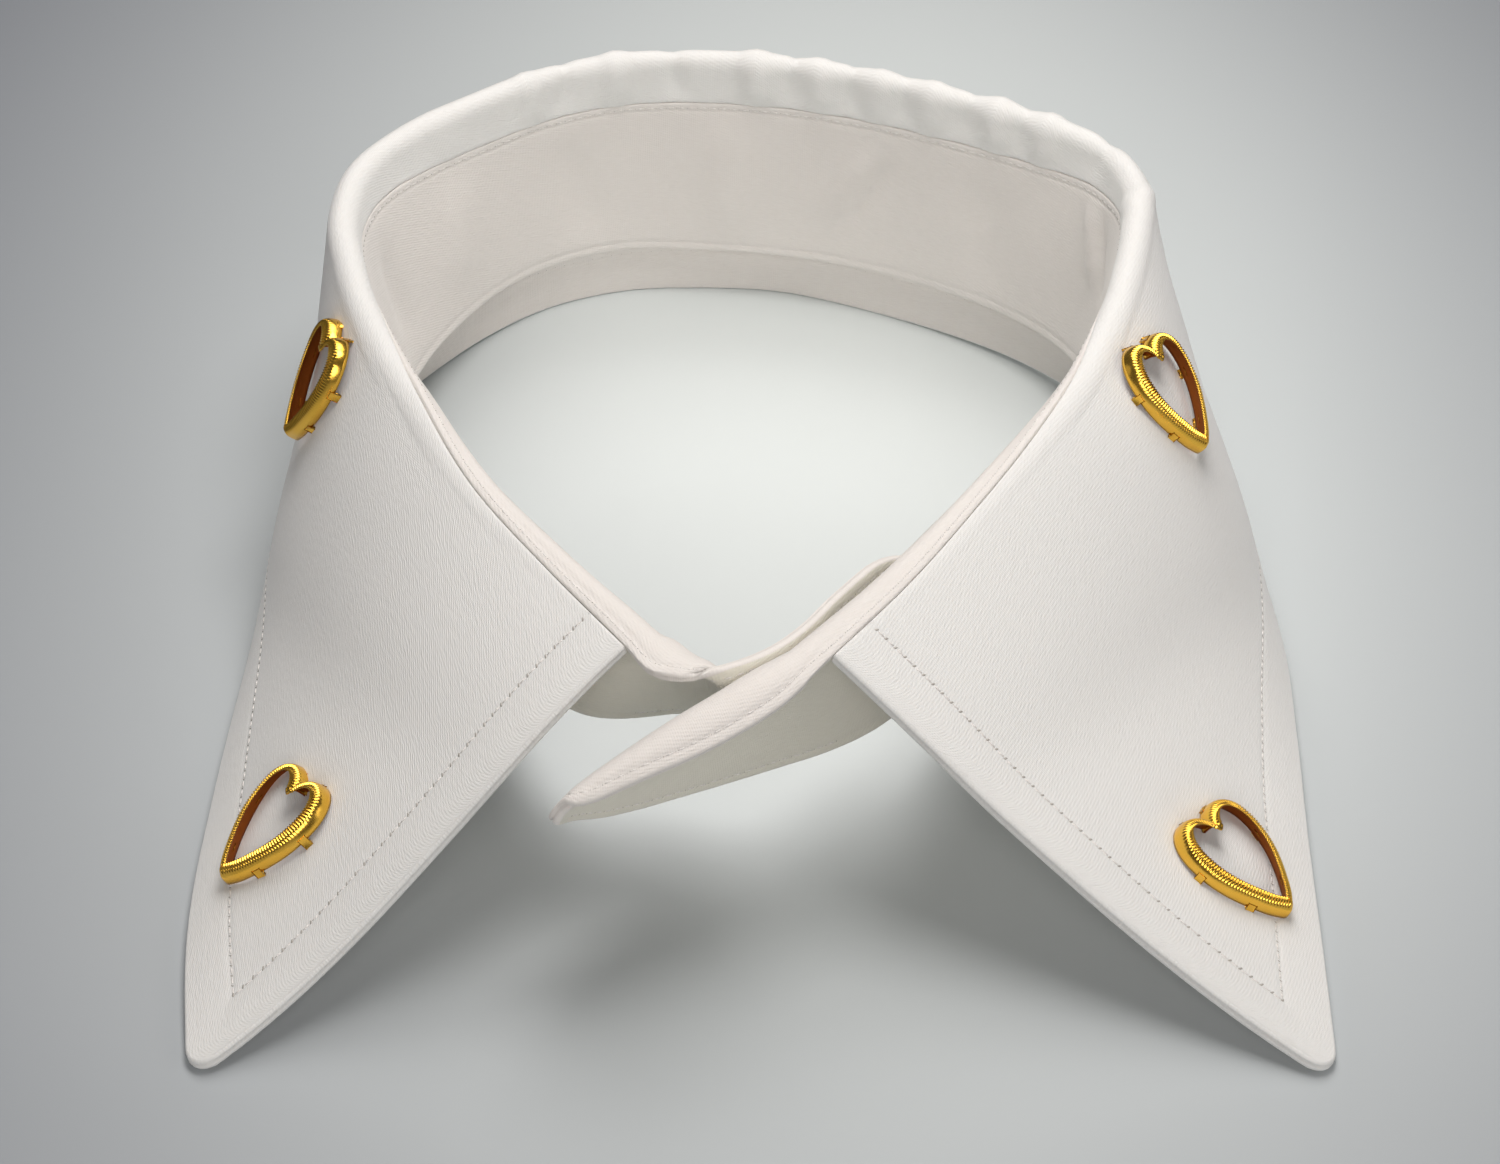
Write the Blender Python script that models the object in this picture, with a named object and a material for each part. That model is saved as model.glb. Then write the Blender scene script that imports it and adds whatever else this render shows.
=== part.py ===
"""Detachable shirt collar: a folded-over fall with two long points, the stand inside it with a rounded tab at
each end, and four open heart-shaped settings that stand on short claws. Sizes are in millimetres until a mesh
is written, which is in metres."""

import bpy
import bmesh
import math
import numpy as np

MM = 0.001

# Cloth
PLY = 1.3                 # thickness of the made-up cloth in the field of a piece
EDGE_SWELL = 0.4          # how much thicker the turned-in edges are
EDGE_REACH = 5.0          # how far from an edge the swelling dies out
EDGE_ROUND = 0.45         # how far the middle of a turned edge stands out
SEAM_GAP = 0.3            # between the stand and the fall
ROLL_SHARE = 0.55         # handle length of the round of the fold, as a share of its corner
PEAK_CUBIC = 6.75         # makes a cubic bulge peak at one
FOLD_SPARE = 1.0          # the fine rows of the fall run on this far past the round of the fold
FOLD_LEAST = 7.0          # and cover at least this much

# How finely the pieces are cut into faces
FALL_ALONG = 96
FALL_DOWN = 21
STAND_ALONG = 108
STAND_DOWN = 10
STAND_CLOSER = 0.85       # power that draws the rows of the stand together at its foot
WALL_STEPS = 12           # points of a section up the wall, round each half of the fold and down the fall
TURN_STEPS = 10
LEAF_STEPS = 30
TURN_START = 1.1          # how far from its corner the round begins, as a share of its radius
TIP_ROUND = 1.6           # how far the two pointed corners of the fall are drawn in

# The ring of the collar seen from above, from the left front corner round the back to the right front corner.
# roll: top of the fold, foot: lower edge of the stand, hem: lower edge of the fall (x to the right, y away
# from the viewer, measured from the back of the hem, z up). seam: from the top of the fold down the outside,
# less than nothing on the inside. tight: half the width of the fold. bow_high and bow_low: how far the upper
# and the lower part of the fall stand out of the straight line between fold and hem.
RING_COLUMNS = ("roll_x", "roll_y", "roll_z", "foot_x", "foot_y", "foot_z", "hem_x", "hem_y", "hem_z",
                "seam", "tight", "bow_high", "bow_low")
RING = (
    (-13.4, -140.5, 39.2, -15.0, -131.0, 18.3, -69.6, -180.2, 0.5, 3.0, 1.7, 0.6, -3.4),
    (-24.6, -127.3, 41.0, -24.8, -126.8, 16.8, -72.2, -157.5, 1.2, 2.2, 1.7, 0.9, -1.6),
    (-35.6, -112.5, 42.2, -33.0, -110.5, 15.8, -72.0, -131.5, 1.5, 1.2, 1.7, 1.4, -0.2),
    (-45.2, -93.8, 43.1, -41.5, -92.5, 14.8, -71.0, -104.5, 1.8, 0.0, 1.6, 2.0, 1.0),
    (-52.8, -77.0, 43.8, -48.5, -76.0, 13.8, -69.6, -83.0, 2.0, -1.6, 1.6, 1.4, 1.6),
    (-57.5, -62.0, 44.3, -52.0, -62.0, 13.0, -66.6, -65.5, 2.0, -3.4, 1.5, 1.1, 1.4),
    (-59.9, -48.0, 44.8, -52.6, -48.0, 12.2, -62.8, -50.0, 1.8, -5.2, 1.45, 0.8, 1.0),
    (-58.2, -35.6, 45.1, -50.2, -36.0, 11.0, -58.0, -37.6, 1.4, -6.8, 1.4, 1.2, 1.0),
    (-51.5, -25.4, 45.4, -45.8, -24.8, 10.3, -51.9, -26.6, 1.0, -7.8, 1.35, 0.8, 0.7),
    (-42.4, -17.0, 45.5, -40.6, -15.9, 10.0, -43.1, -14.9, 0.6, -8.3, 1.3, 0.5, 0.4),
    (-33.0, -9.8, 45.6, -32.6, -7.8, 9.8, -33.7, -5.8, 0.2, -8.5, 1.3, 0.4, 0.3),
    (-21.0, -4.6, 45.6, -20.6, -2.4, 9.6, -20.6, -0.2, 0.0, -8.5, 1.3, 0.4, 0.3),
    (-9.0, -3.5, 45.6, -9.0, -2.2, 9.5, -8.0, 0.6, 0.0, -8.5, 1.3, 0.4, 0.3),
    (3.5, -4.8, 45.6, 3.2, -3.7, 9.5, 5.0, -0.6, 0.0, -8.5, 1.3, 0.4, 0.3),
    (17.0, -8.5, 45.5, 16.4, -7.5, 9.6, 19.0, -6.0, 0.1, -8.5, 1.3, 0.4, 0.4),
    (32.0, -15.3, 45.4, 31.0, -15.0, 9.8, 34.2, -15.0, 0.6, -8.3, 1.3, 0.5, 0.5),
    (44.8, -22.5, 45.2, 41.6, -23.2, 10.0, 46.5, -25.4, 1.2, -7.9, 1.35, 0.7, 0.7),
    (54.1, -30.5, 45.0, 48.6, -32.0, 10.3, 55.2, -36.2, 1.6, -7.0, 1.4, 1.1, 1.0),
    (57.7, -41.2, 44.8, 52.2, -41.2, 10.8, 61.6, -47.8, 1.8, -5.8, 1.45, 1.6, 1.5),
    (56.5, -52.0, 44.5, 52.2, -51.5, 11.4, 66.6, -57.5, 2.0, -4.6, 1.5, 1.9, 1.9),
    (54.1, -63.5, 44.2, 50.2, -62.8, 12.0, 71.0, -69.0, 2.0, -3.4, 1.5, 2.2, 2.1),
    (50.6, -75.5, 43.7, 46.8, -74.2, 12.8, 74.2, -82.0, 2.0, -1.8, 1.6, 2.4, 2.0),
    (44.8, -89.8, 43.1, 41.2, -88.0, 13.7, 75.6, -99.0, 1.9, -0.4, 1.6, 2.2, 1.0),
    (36.9, -103.5, 42.4, 34.0, -101.7, 14.6, 74.9, -117.5, 1.7, 0.6, 1.7, 1.4, -0.2),
    (28.1, -116.9, 41.5, 26.2, -115.2, 15.4, 73.9, -137.0, 1.5, 1.4, 1.7, 0.6, -1.4),
    (18.7, -129.8, 40.5, 18.9, -128.3, 16.2, 73.4, -158.5, 1.2, 2.3, 1.7, -0.2, -2.4),
    (8.0, -142.6, 39.3, 9.6, -137.6, 17.8, 72.6, -180.4, 0.5, 3.0, 1.7, -0.9, -2.8),
)

# The tabs, from their front corner out to the rounded end. roll and foot as above, edge: the upper edge of
# the tab, which lies outside the roll. The last row is where the rounded end closes.
TAB_COLUMNS = ("roll_x", "roll_y", "roll_z", "foot_x", "foot_y", "foot_z", "edge_x", "edge_y", "edge_z")
LEFT_TAB = (
    (-10.6, -142.2, 39.0, -9.8, -131.2, 19.2, -12.8, -146.3, 37.9),
    (-8.6, -144.4, 38.6, -7.4, -132.0, 19.8, -10.5, -147.1, 37.9),
    (-6.6, -146.0, 38.3, -4.6, -132.7, 20.5, -7.6, -146.9, 38.0),
    (-2.6, -146.9, 34.8, -0.8, -133.6, 21.4, -2.4, -145.4, 38.0),
    (2.9, -143.9, 34.8, 3.9, -134.0, 23.0, 2.6, -142.3, 38.0),
    (7.7, -138.8, 34.9, 7.9, -130.5, 23.8, 7.0, -137.6, 38.0),
    (11.2, -133.6, 35.0, 11.6, -127.0, 24.6, 10.4, -132.4, 38.0),
    (14.8, -128.7, 35.2, 15.0, -123.6, 26.0, 13.9, -127.5, 38.0),
    (18.1, -124.2, 35.5, 17.9, -120.6, 27.8, 17.3, -123.3, 37.7),
    (20.9, -120.8, 35.2, 20.7, -118.2, 29.6, 20.3, -120.0, 37.0),
)
RIGHT_TAB = (
    (2.4, -147.8, 38.6, 4.0, -140.4, 17.9, 4.2, -150.8, 36.8),
    (-3.2, -151.8, 37.5, -2.6, -143.6, 18.0, -1.8, -155.2, 35.4),
    (-8.6, -155.2, 36.1, -9.2, -147.0, 18.4, -7.6, -158.4, 34.2),
    (-13.2, -157.8, 34.5, -13.8, -150.2, 19.4, -12.8, -160.5, 33.0),
    (-17.2, -160.0, 32.9, -17.4, -153.6, 21.2, -17.1, -162.0, 31.7),
    (-20.8, -162.0, 31.4, -20.8, -156.8, 23.0, -21.0, -163.4, 30.5),
    (-24.2, -163.9, 30.0, -24.0, -160.2, 25.0, -24.4, -165.0, 29.2),
)
UPRIGHT_WALL = 0.65       # share of an upright tab, from its foot, that is flat
UPRIGHT_BEND = 0.97
TAB_TIGHT = 2.6           # half the width of the roll of a tab, at most
TAB_TIGHT_SHARE = 0.3     # and at most this share of its height
LIP_STEPS = 6
TAB_ROUND = 9.0           # length of the rounded end of a tab

# Soft puckers between the fold and the seam inside the back: place along the ring as a share of its length
# from the left corner, and depth.
PUCKERS = ((0.405, 0.35), (0.445, 0.5), (0.505, 0.6), (0.532, 0.4), (0.558, 0.3), (0.582, 0.4),
           (0.612, 0.55), (0.633, 0.5), (0.70, 0.4))
PUCKER_HALF_WIDTH = 2.2

# Hearts: place on the fall as shares along it and down it, and the turn of the point from straight down
# the fall, in degrees, towards the front.
HEARTS = (
    ("heart_upper_left", 0.205, 0.296, 6.1),
    ("heart_upper_right", 0.802, 0.261, 22.4),
    ("heart_lower_left", 0.056, 0.765, 8.6),
    ("heart_lower_right", 0.949, 0.810, 14.9),
)
HEART_WIDE = 15.6
HEART_LONG = 17.8
HEART_HALF = (            # half of a heart, from its notch round to its point: shares across and down
    (0.0, 0.150), (0.10, 0.085), (0.28, 0.025), (0.52, 0.0), (0.76, 0.035), (0.93, 0.12), (1.0, 0.24),
    (0.985, 0.35), (0.93, 0.46), (0.82, 0.575), (0.66, 0.69), (0.47, 0.80), (0.25, 0.91), (0.0, 1.0),
)
HEART_FINE = 240
RIM_WIDE = 1.6
RIM_TALL = 2.1
RIM_SECTION = (           # out from the middle of the rim, up from its base: a lip that curves out and down
    (-0.80, 1.70), (-0.75, 2.10), (0.0, 2.10), (0.6, 1.50), (0.8, 0.0), (0.45, 0.0), (0.1, 1.35),
)
RIM_BASE = 4              # the underside runs from this corner of the section to the next
CLAW_TALL = 0.45          # from just above the cloth under the middle of the heart to the base of the rim
CLAW_CLEAR = 0.3          # claws end this far above the cloth
CLAW_OUT = 0.75           # and stand out this far from the rim
HEART_STEPS = 48
CLAW_STEPS = 2
CLAW_PLACES = (0.065, 0.2, 0.37, 0.63, 0.8, 0.935)

CLOTH_WHITE = (0.86, 0.84, 0.82, 1.0)
GOLD = (0.93, 0.66, 0.18, 1.0)


def clear_scene():
    for item in list(bpy.data.objects):
        bpy.data.objects.remove(item, do_unlink=True)


def column(table, names, name):
    return np.array([row[names.index(name)] for row in table], float)


def columns(table, names, prefix):
    """The three columns of a table that hold one point each, as an array."""
    picks = [names.index(prefix + axis) for axis in ("_x", "_y", "_z")]
    return np.array([[row[k] for k in picks] for row in table], float)


def unit(vectors):
    vectors = np.asarray(vectors, float)
    return vectors / np.maximum(np.linalg.norm(vectors, axis=-1, keepdims=True), 1e-9)


def lengths_along(points):
    steps = np.linalg.norm(np.diff(points, axis=0), axis=1)
    return np.concatenate([[0.0], np.cumsum(steps)])


def at_length(points, wanted):
    """Points of a polyline at the wanted distances along it."""
    places = lengths_along(points)
    return np.stack([np.interp(wanted, places, points[:, k]) for k in range(3)], axis=1)


def bezier(a, b, c, d, steps):
    t = np.linspace(0.0, 1.0, steps)[:, None]
    return (1 - t) ** 3 * a + 3 * (1 - t) ** 2 * t * b + 3 * (1 - t) * t ** 2 * c + t ** 3 * d


def outward(rail):
    """Level direction out of the ring at each point of a rail that runs from the left round to the right."""
    along = np.gradient(rail, axis=0)
    along[:, 2] = 0.0
    along = unit(along)
    return np.stack([-along[:, 1], along[:, 0], np.zeros(len(rail))], axis=1)


def wall_and_round(foot, roll, out, tight):
    """From the foot of the stand up its wall and round to the top of the fold."""
    corner = roll - out * tight
    up = unit(corner - foot)
    start = corner - up * tight * TURN_START
    wall = foot + (start - foot) * np.linspace(0.0, 1.0, WALL_STEPS)[:-1, None]
    handle = tight * ROLL_SHARE
    turn = bezier(start, start + up * handle * TURN_START, roll - out * handle, roll, TURN_STEPS)
    return np.concatenate([wall, turn])


def round_and_leaf(roll, hem, out, tight, bow_high, bow_low):
    """From the top of the fold round and down the fall to its hem."""
    away = hem - roll
    level = unit(np.array([away[0], away[1], 0.0]))
    side = unit(out + 0.35 * level)
    corner = roll + side * tight
    down = unit(hem - corner)
    start = corner + down * tight * TURN_START
    handle = tight * ROLL_SHARE
    turn = bezier(roll, roll + out * handle, start - down * handle * TURN_START, start, TURN_STEPS)
    share = np.linspace(0.0, 1.0, LEAF_STEPS)[1:, None]
    lift = unit(np.cross(np.cross(down, np.array([0.0, 0.0, 1.0])), down))
    bulge = PEAK_CUBIC * share * (1.0 - share) * (bow_high * (1.0 - share) + bow_low * share)
    leaf = start + (hem - start) * share + lift * bulge
    return np.concatenate([turn, leaf])


def ring_profiles():
    """The whole section of the folded collar at each row of the ring, and where the fold's top lies in it."""
    roll = columns(RING, RING_COLUMNS, "roll")
    foot = columns(RING, RING_COLUMNS, "foot")
    hem = columns(RING, RING_COLUMNS, "hem")
    seam, tight, high, low = (column(RING, RING_COLUMNS, n) for n in ("seam", "tight", "bow_high", "bow_low"))
    out = outward(roll)
    profiles = []
    for k in range(len(RING)):
        inner = wall_and_round(foot[k], roll[k], out[k], tight[k])
        outer = round_and_leaf(roll[k], hem[k], out[k], tight[k], high[k], low[k])
        profiles.append((np.concatenate([inner, outer[1:]]), lengths_along(inner)[-1] + seam[k]))
    return roll, profiles


def stand_shares():
    """Places across the stand, closer together where it rolls over."""
    share = np.linspace(0.0, 1.0, STAND_DOWN + 1)
    return share ** STAND_CLOSER


def fall_shares(tight_part):
    """Places down the fall: close together round the fold, then wide."""
    fine = np.linspace(0.0, tight_part, FALL_DOWN // 2 + 1)
    wide = np.linspace(tight_part, 1.0, FALL_DOWN - FALL_DOWN // 2 + 1)
    return np.concatenate([fine, wide[1:]])


def spline(rows, at_rows, wanted):
    """A smooth curve through rows of values that stand at at_rows, read at the wanted places."""
    rows = np.asarray(rows, float)
    slope = np.gradient(rows.reshape(len(rows), -1), at_rows, axis=0).reshape(rows.shape)
    k = np.clip(np.searchsorted(at_rows, wanted, side="right") - 1, 0, len(at_rows) - 2)
    span = at_rows[k + 1] - at_rows[k]
    t = (wanted - at_rows[k]) / span
    shape = (len(wanted),) + (1,) * (rows.ndim - 1)
    t, span = t.reshape(shape), span.reshape(shape)
    return ((2 * t ** 3 - 3 * t ** 2 + 1) * rows[k] + (t ** 3 - 2 * t ** 2 + t) * span * slope[k]
            + (3 * t ** 2 - 2 * t ** 3) * rows[k + 1] + (t ** 3 - t ** 2) * span * slope[k + 1])


def tab_section(roll, foot, edge):
    """Section of a tab from its foot to its upper edge. Where the edge lies below the roll, the tab rolls over
    outward. Where it lies above, roll is the part of an upright tab that stands out furthest."""
    if edge[2] > roll[2]:
        wall = foot + (roll - foot) * np.linspace(0.0, UPRIGHT_WALL, WALL_STEPS)[:-1, None]
        bend = bezier(foot + (roll - foot) * UPRIGHT_WALL, foot + (roll - foot) * UPRIGHT_BEND, roll, edge, TURN_STEPS)
        return np.concatenate([wall, bend])
    out = unit((edge - roll) * (1.0, 1.0, 0.0))
    lip = np.linalg.norm(edge - roll)
    inner = wall_and_round(foot, roll, out, min(TAB_TIGHT, TAB_TIGHT_SHARE * np.linalg.norm(roll - foot)))
    outer = bezier(roll, roll + out * lip * 0.4, edge - unit(edge - roll) * lip * 0.2, edge, LIP_STEPS)
    return np.concatenate([inner, outer[1:]])


def stand_sections():
    """Middle surface of the stand as rows of points, from the end of the left tab to the end of the right."""
    roll, profiles = ring_profiles()
    ring = [at_length(p, stand_shares() * (seam - SEAM_GAP / 2 - EDGE_ROUND)) for p, seam in profiles]
    tabs = []
    for table, corner in ((LEFT_TAB, 0), (RIGHT_TAB, -1)):
        tab_roll = columns(table, TAB_COLUMNS, "roll")
        tab_foot = columns(table, TAB_COLUMNS, "foot")
        tab_edge = columns(table, TAB_COLUMNS, "edge")
        sections = []
        for r, f, e in zip(tab_roll, tab_foot, tab_edge):
            whole = tab_section(r, f, e)
            sections.append(at_length(whole, stand_shares() * lengths_along(whole)[-1]))
        tabs.append((tab_roll, sections))
    rail = np.concatenate([tabs[0][0][::-1], roll, tabs[1][0]])
    sections = np.array(tabs[0][1][::-1] + ring + tabs[1][1])
    return rail, sections


def stand_grid():
    rail, sections = stand_sections()
    middle = sections[:, STAND_DOWN // 2]
    places = lengths_along(middle)
    total = places[-1]
    even = np.linspace(0.0, total, STAND_ALONG + 1)
    ends = TAB_ROUND * (1.0 - np.cos(np.linspace(0.0, math.pi / 2, 9)))
    inside = even[(even > TAB_ROUND * 1.12) & (even < total - TAB_ROUND * 1.12)]
    wanted = np.concatenate([ends[1:], inside, total - ends[:0:-1]])
    grid = spline(sections, places, wanted)
    for k, place in enumerate(wanted):
        near = min(place, total - place)
        if near < TAB_ROUND:
            keep = math.sqrt(max(0.0, 1.0 - (1.0 - near / TAB_ROUND) ** 2))
            line = grid[k]
            lengths = lengths_along(line)
            half = lengths[-1] / 2
            grid[k] = at_length(line, half + (lengths - half) * max(keep, 0.12))
    return grid


def fall_grid():
    roll, profiles = ring_profiles()
    sections = []
    for profile, seam in profiles:
        whole = lengths_along(profile)[-1]
        start = seam + SEAM_GAP / 2 + EDGE_ROUND
        fold_end = lengths_along(profile)[WALL_STEPS + 2 * TURN_STEPS - 2] - start
        shares = fall_shares(max(fold_end + FOLD_SPARE, FOLD_LEAST) / (whole - start))
        sections.append(at_length(profile, start + shares * (whole - start)))
    sections = np.array(sections)
    places = lengths_along(roll)
    wanted = np.linspace(0.0, places[-1], FALL_ALONG + 1)
    grid = pucker(spline(sections, places, wanted))
    for end, next_in in ((0, 1), (-1, -2)):
        inside = unit(grid[next_in, -2] - grid[end, -1])
        grid[end, -1] += inside * TIP_ROUND
    return grid


def normals(grid):
    """Outer normal of a grid of points whose rows run along the ring and whose columns run over the fold."""
    along = np.gradient(grid, axis=0)
    across = np.gradient(grid, axis=1)
    return unit(np.cross(along, across))


def pucker(grid):
    """Soft upright puckers in the part of the fall between the seam and the top of the fold."""
    facing = normals(grid)
    top = grid[:, :, 2].argmax(axis=1)
    length = lengths_along(grid[:, 0])
    for place, depth in PUCKERS:
        centre = np.searchsorted(length, place * length[-1])
        for k in range(max(0, centre - 3), min(len(grid), centre + 4)):
            near = math.exp(-((length[k] - place * length[-1]) / PUCKER_HALF_WIDTH) ** 2)
            for j in range(1, top[k] + 1):
                fade = math.sin(math.pi * j / (top[k] + 1))
                grid[k, j] += facing[k, j] * depth * near * fade
    return grid


def swell(grid):
    """Half thickness at each point: the cloth is thicker along its turned-in edges."""
    half = np.full(grid.shape[:2], PLY / 2)
    down = np.array([lengths_along(row) for row in grid])
    along = np.array([lengths_along(grid[:, j]) for j in range(grid.shape[1])]).T
    near = np.minimum(down[:, -1:] - down, np.minimum(along, along[-1:] - along))
    return half + EDGE_SWELL / 2 * np.exp(-(near / EDGE_REACH) ** 2)


def sheet_object(name, grid, material):
    """A closed solid from a middle surface: both faces and a rounded edge all the way round."""
    facing = normals(grid)
    half = swell(grid)[:, :, None]
    outer = grid + facing * half
    inner = grid - facing * half
    rows, cols = grid.shape[:2]
    mesh = bmesh.new()

    def layer(points):
        return [[mesh.verts.new(np.maximum(p, (-1e9, -1e9, 0.0)) * MM) for p in row] for row in points]

    top = layer(outer)
    bottom = layer(inner)
    for i in range(rows - 1):
        for j in range(cols - 1):
            mesh.faces.new((top[i][j], top[i + 1][j], top[i + 1][j + 1], top[i][j + 1]))
            mesh.faces.new((bottom[i][j], bottom[i][j + 1], bottom[i + 1][j + 1], bottom[i + 1][j]))
    rim = ([(i, 0) for i in range(rows)] + [(rows - 1, j) for j in range(1, cols)]
           + [(i, cols - 1) for i in range(rows - 2, -1, -1)] + [(0, j) for j in range(cols - 2, 0, -1)])
    inward = {}
    for i, j in rim:
        back = grid[min(max(i, 1), rows - 2), min(max(j, 1), cols - 2)]
        inward[(i, j)] = unit(grid[i, j] - back)
    middle = {}
    for i, j in rim:
        point = grid[i, j] + inward[(i, j)] * EDGE_ROUND
        middle[(i, j)] = mesh.verts.new(np.maximum(point, (-1e9, -1e9, 0.0)) * MM)
    for k, (i, j) in enumerate(rim):
        m, n = rim[(k + 1) % len(rim)]
        mesh.faces.new((top[i][j], middle[(i, j)], middle[(m, n)], top[m][n]))
        mesh.faces.new((middle[(i, j)], bottom[i][j], bottom[m][n], middle[(m, n)]))
    return finish(name, mesh, material)


def finish(name, mesh, material):
    bmesh.ops.recalc_face_normals(mesh, faces=mesh.faces)
    data = bpy.data.meshes.new(name)
    mesh.to_mesh(data)
    mesh.free()
    data.polygons.foreach_set("use_smooth", [True] * len(data.polygons))
    data.materials.append(material)
    item = bpy.data.objects.new(name, data)
    bpy.context.scene.collection.objects.link(item)
    return item


def plain_material(name, colour, roughness, metallic):
    material = bpy.data.materials.new(name)
    material.use_nodes = True
    shader = material.node_tree.nodes["Principled BSDF"]
    shader.inputs["Base Color"].default_value = colour
    shader.inputs["Roughness"].default_value = roughness
    shader.inputs["Metallic"].default_value = metallic
    return material


def heart_outline():
    """A heart with its point down, as points at even steps of its length from the notch round."""
    size = np.array([(HEART_WIDE - RIM_WIDE) / 2, RIM_WIDE - HEART_LONG])
    corners = np.array([(across * size[0], (down - 0.5) * size[1], 0.0) for across, down in HEART_HALF])
    places = lengths_along(corners)
    half = spline(corners, places, np.linspace(0.0, places[-1], HEART_FINE))
    line = np.concatenate([half, half[::-1][1:] * (-1.0, 1.0, 1.0)])
    wanted = np.linspace(0.0, lengths_along(line)[-1], HEART_STEPS + 1)[:-1]
    return at_length(line, wanted)


def spot_on(surface, along, down):
    """Point, outer normal and downhill direction of the fall at a share along it and a share down it."""
    facing = normals(surface)
    row = along * (len(surface) - 1)
    before = int(row)
    part = row - before
    line = surface[before] * (1 - part) + surface[before + 1] * part
    line_facing = facing[before] * (1 - part) + facing[before + 1] * part
    places = lengths_along(line)
    centre = at_length(line, [down * places[-1]])[0]
    column_place = np.interp(down * places[-1], places, np.arange(len(line)))
    below = int(column_place)
    share = column_place - below
    up = unit(line_facing[below] * (1 - share) + line_facing[below + 1] * share)
    downhill = line[below + 1] - line[below]
    downhill = unit(downhill - up * np.dot(downhill, up))
    return centre, up, downhill


def drop_to(point, up, skin, skin_facing):
    """How far below a point, against up, the cloth's outer face lies."""
    fall = 0.0
    for _ in range(4):
        here = point - up * fall
        nearest = np.linalg.norm(skin - here, axis=1).argmin()
        above = np.dot(here - skin[nearest], skin_facing[nearest])
        fall += above / np.dot(up, skin_facing[nearest])
    return fall


def heart_object(name, along, down, turn, surface, material):
    """One open setting: a curved rim that follows the heart, with claws that reach to just above the cloth."""
    centre, up, downhill = spot_on(surface, along, down)
    front = np.cross(up, downhill) * (1.0 if along < 0.5 else -1.0)
    angle = math.radians(turn)
    point_way = unit(downhill * math.cos(angle) + front * math.sin(angle))
    side_way = unit(np.cross(point_way, up))
    outline = heart_outline()
    rise = PLY / 2 + CLAW_CLEAR + CLAW_TALL
    line = centre + up * rise + outline[:, :1] * side_way - outline[:, 1:2] * point_way
    along_line = unit(np.roll(line, -1, axis=0) - np.roll(line, 1, axis=0))
    out = unit(np.cross(along_line, up))
    if np.dot(out[HEART_STEPS // 4], line[HEART_STEPS // 4] - centre) < 0:
        out = -out
    mesh = bmesh.new()
    rings = [[mesh.verts.new((line[k] + out[k] * a + up * b) * MM) for a, b in RIM_SECTION]
             for k in range(HEART_STEPS)]
    underside = []
    for k in range(HEART_STEPS):
        here, ahead = rings[k], rings[(k + 1) % HEART_STEPS]
        for a in range(len(RIM_SECTION)):
            b = (a + 1) % len(RIM_SECTION)
            face = mesh.faces.new((here[a], here[b], ahead[b], ahead[a]))
            if a == RIM_BASE:
                underside.append(face)
    facing = normals(surface)
    skin = (surface + facing * swell(surface)[:, :, None]).reshape(-1, 3)
    for place in CLAW_PLACES:
        first = int(round(place * HEART_STEPS)) - CLAW_STEPS // 2
        faces = [underside[(first + step) % HEART_STEPS] for step in range(CLAW_STEPS)]
        pulled = bmesh.ops.extrude_face_region(mesh, geom=faces)["geom"]
        bmesh.ops.delete(mesh, geom=faces, context="FACES_ONLY")
        middle = first + CLAW_STEPS // 2
        for vert in [v for v in pulled if isinstance(v, bmesh.types.BMVert)]:
            point = np.array(vert.co) / MM + out[middle % HEART_STEPS] * CLAW_OUT
            fall = drop_to(point, up, skin, facing.reshape(-1, 3)) - CLAW_CLEAR
            vert.co = (point - up * fall) * MM
    return finish(name, mesh, material)


def centre_on_floor(items):
    """Moves every piece so that the middle of the whole underside is the origin."""
    points = np.array([v.co for item in items for v in item.data.vertices])
    low, high = points.min(axis=0), points.max(axis=0)
    shift = np.array([-(low[0] + high[0]) / 2, -(low[1] + high[1]) / 2, -low[2]])
    for item in items:
        for v in item.data.vertices:
            v.co += type(v.co)(shift)
        item.data.update()


def main():
    clear_scene()
    cloth = plain_material("white_cotton", CLOTH_WHITE, 0.75, 0.0)
    band_cloth = plain_material("white_cotton_band", CLOTH_WHITE, 0.75, 0.0)
    fall = fall_grid()
    items = [sheet_object("fall", fall, cloth), sheet_object("stand", stand_grid(), band_cloth)]
    for name, along, down, turn in HEARTS:
        gold = plain_material(name + "_gold", GOLD, 0.22, 1.0)
        items.append(heart_object(name, along, down, turn, fall, gold))
    centre_on_floor(items)


main()
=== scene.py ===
"""A white cotton shirt collar that stands folded in a ring on a pale table, with four gilt open hearts.
The cloth is shaped in millimetres, measured from the back of the hem, and moved to the part's own origin
when a mesh is written."""

import bpy
import bmesh
import math
import numpy as np
from mathutils import Matrix, Vector


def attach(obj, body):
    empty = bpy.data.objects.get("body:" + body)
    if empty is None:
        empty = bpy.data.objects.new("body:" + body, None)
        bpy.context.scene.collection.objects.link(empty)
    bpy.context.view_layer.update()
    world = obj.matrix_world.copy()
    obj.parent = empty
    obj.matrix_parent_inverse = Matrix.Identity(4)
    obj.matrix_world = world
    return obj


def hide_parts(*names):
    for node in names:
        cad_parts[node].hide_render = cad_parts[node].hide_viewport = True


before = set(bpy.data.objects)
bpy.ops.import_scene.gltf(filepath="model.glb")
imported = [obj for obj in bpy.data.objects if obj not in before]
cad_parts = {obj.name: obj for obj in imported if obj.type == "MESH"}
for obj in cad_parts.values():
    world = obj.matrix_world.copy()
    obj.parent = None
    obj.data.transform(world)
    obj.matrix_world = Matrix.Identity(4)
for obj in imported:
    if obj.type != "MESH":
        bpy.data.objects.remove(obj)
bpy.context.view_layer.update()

MM = 0.001
TO_ORIGIN = np.array([-1.7269, 88.9851, 0.0])
FAR_BELOW = -1e9
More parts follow.
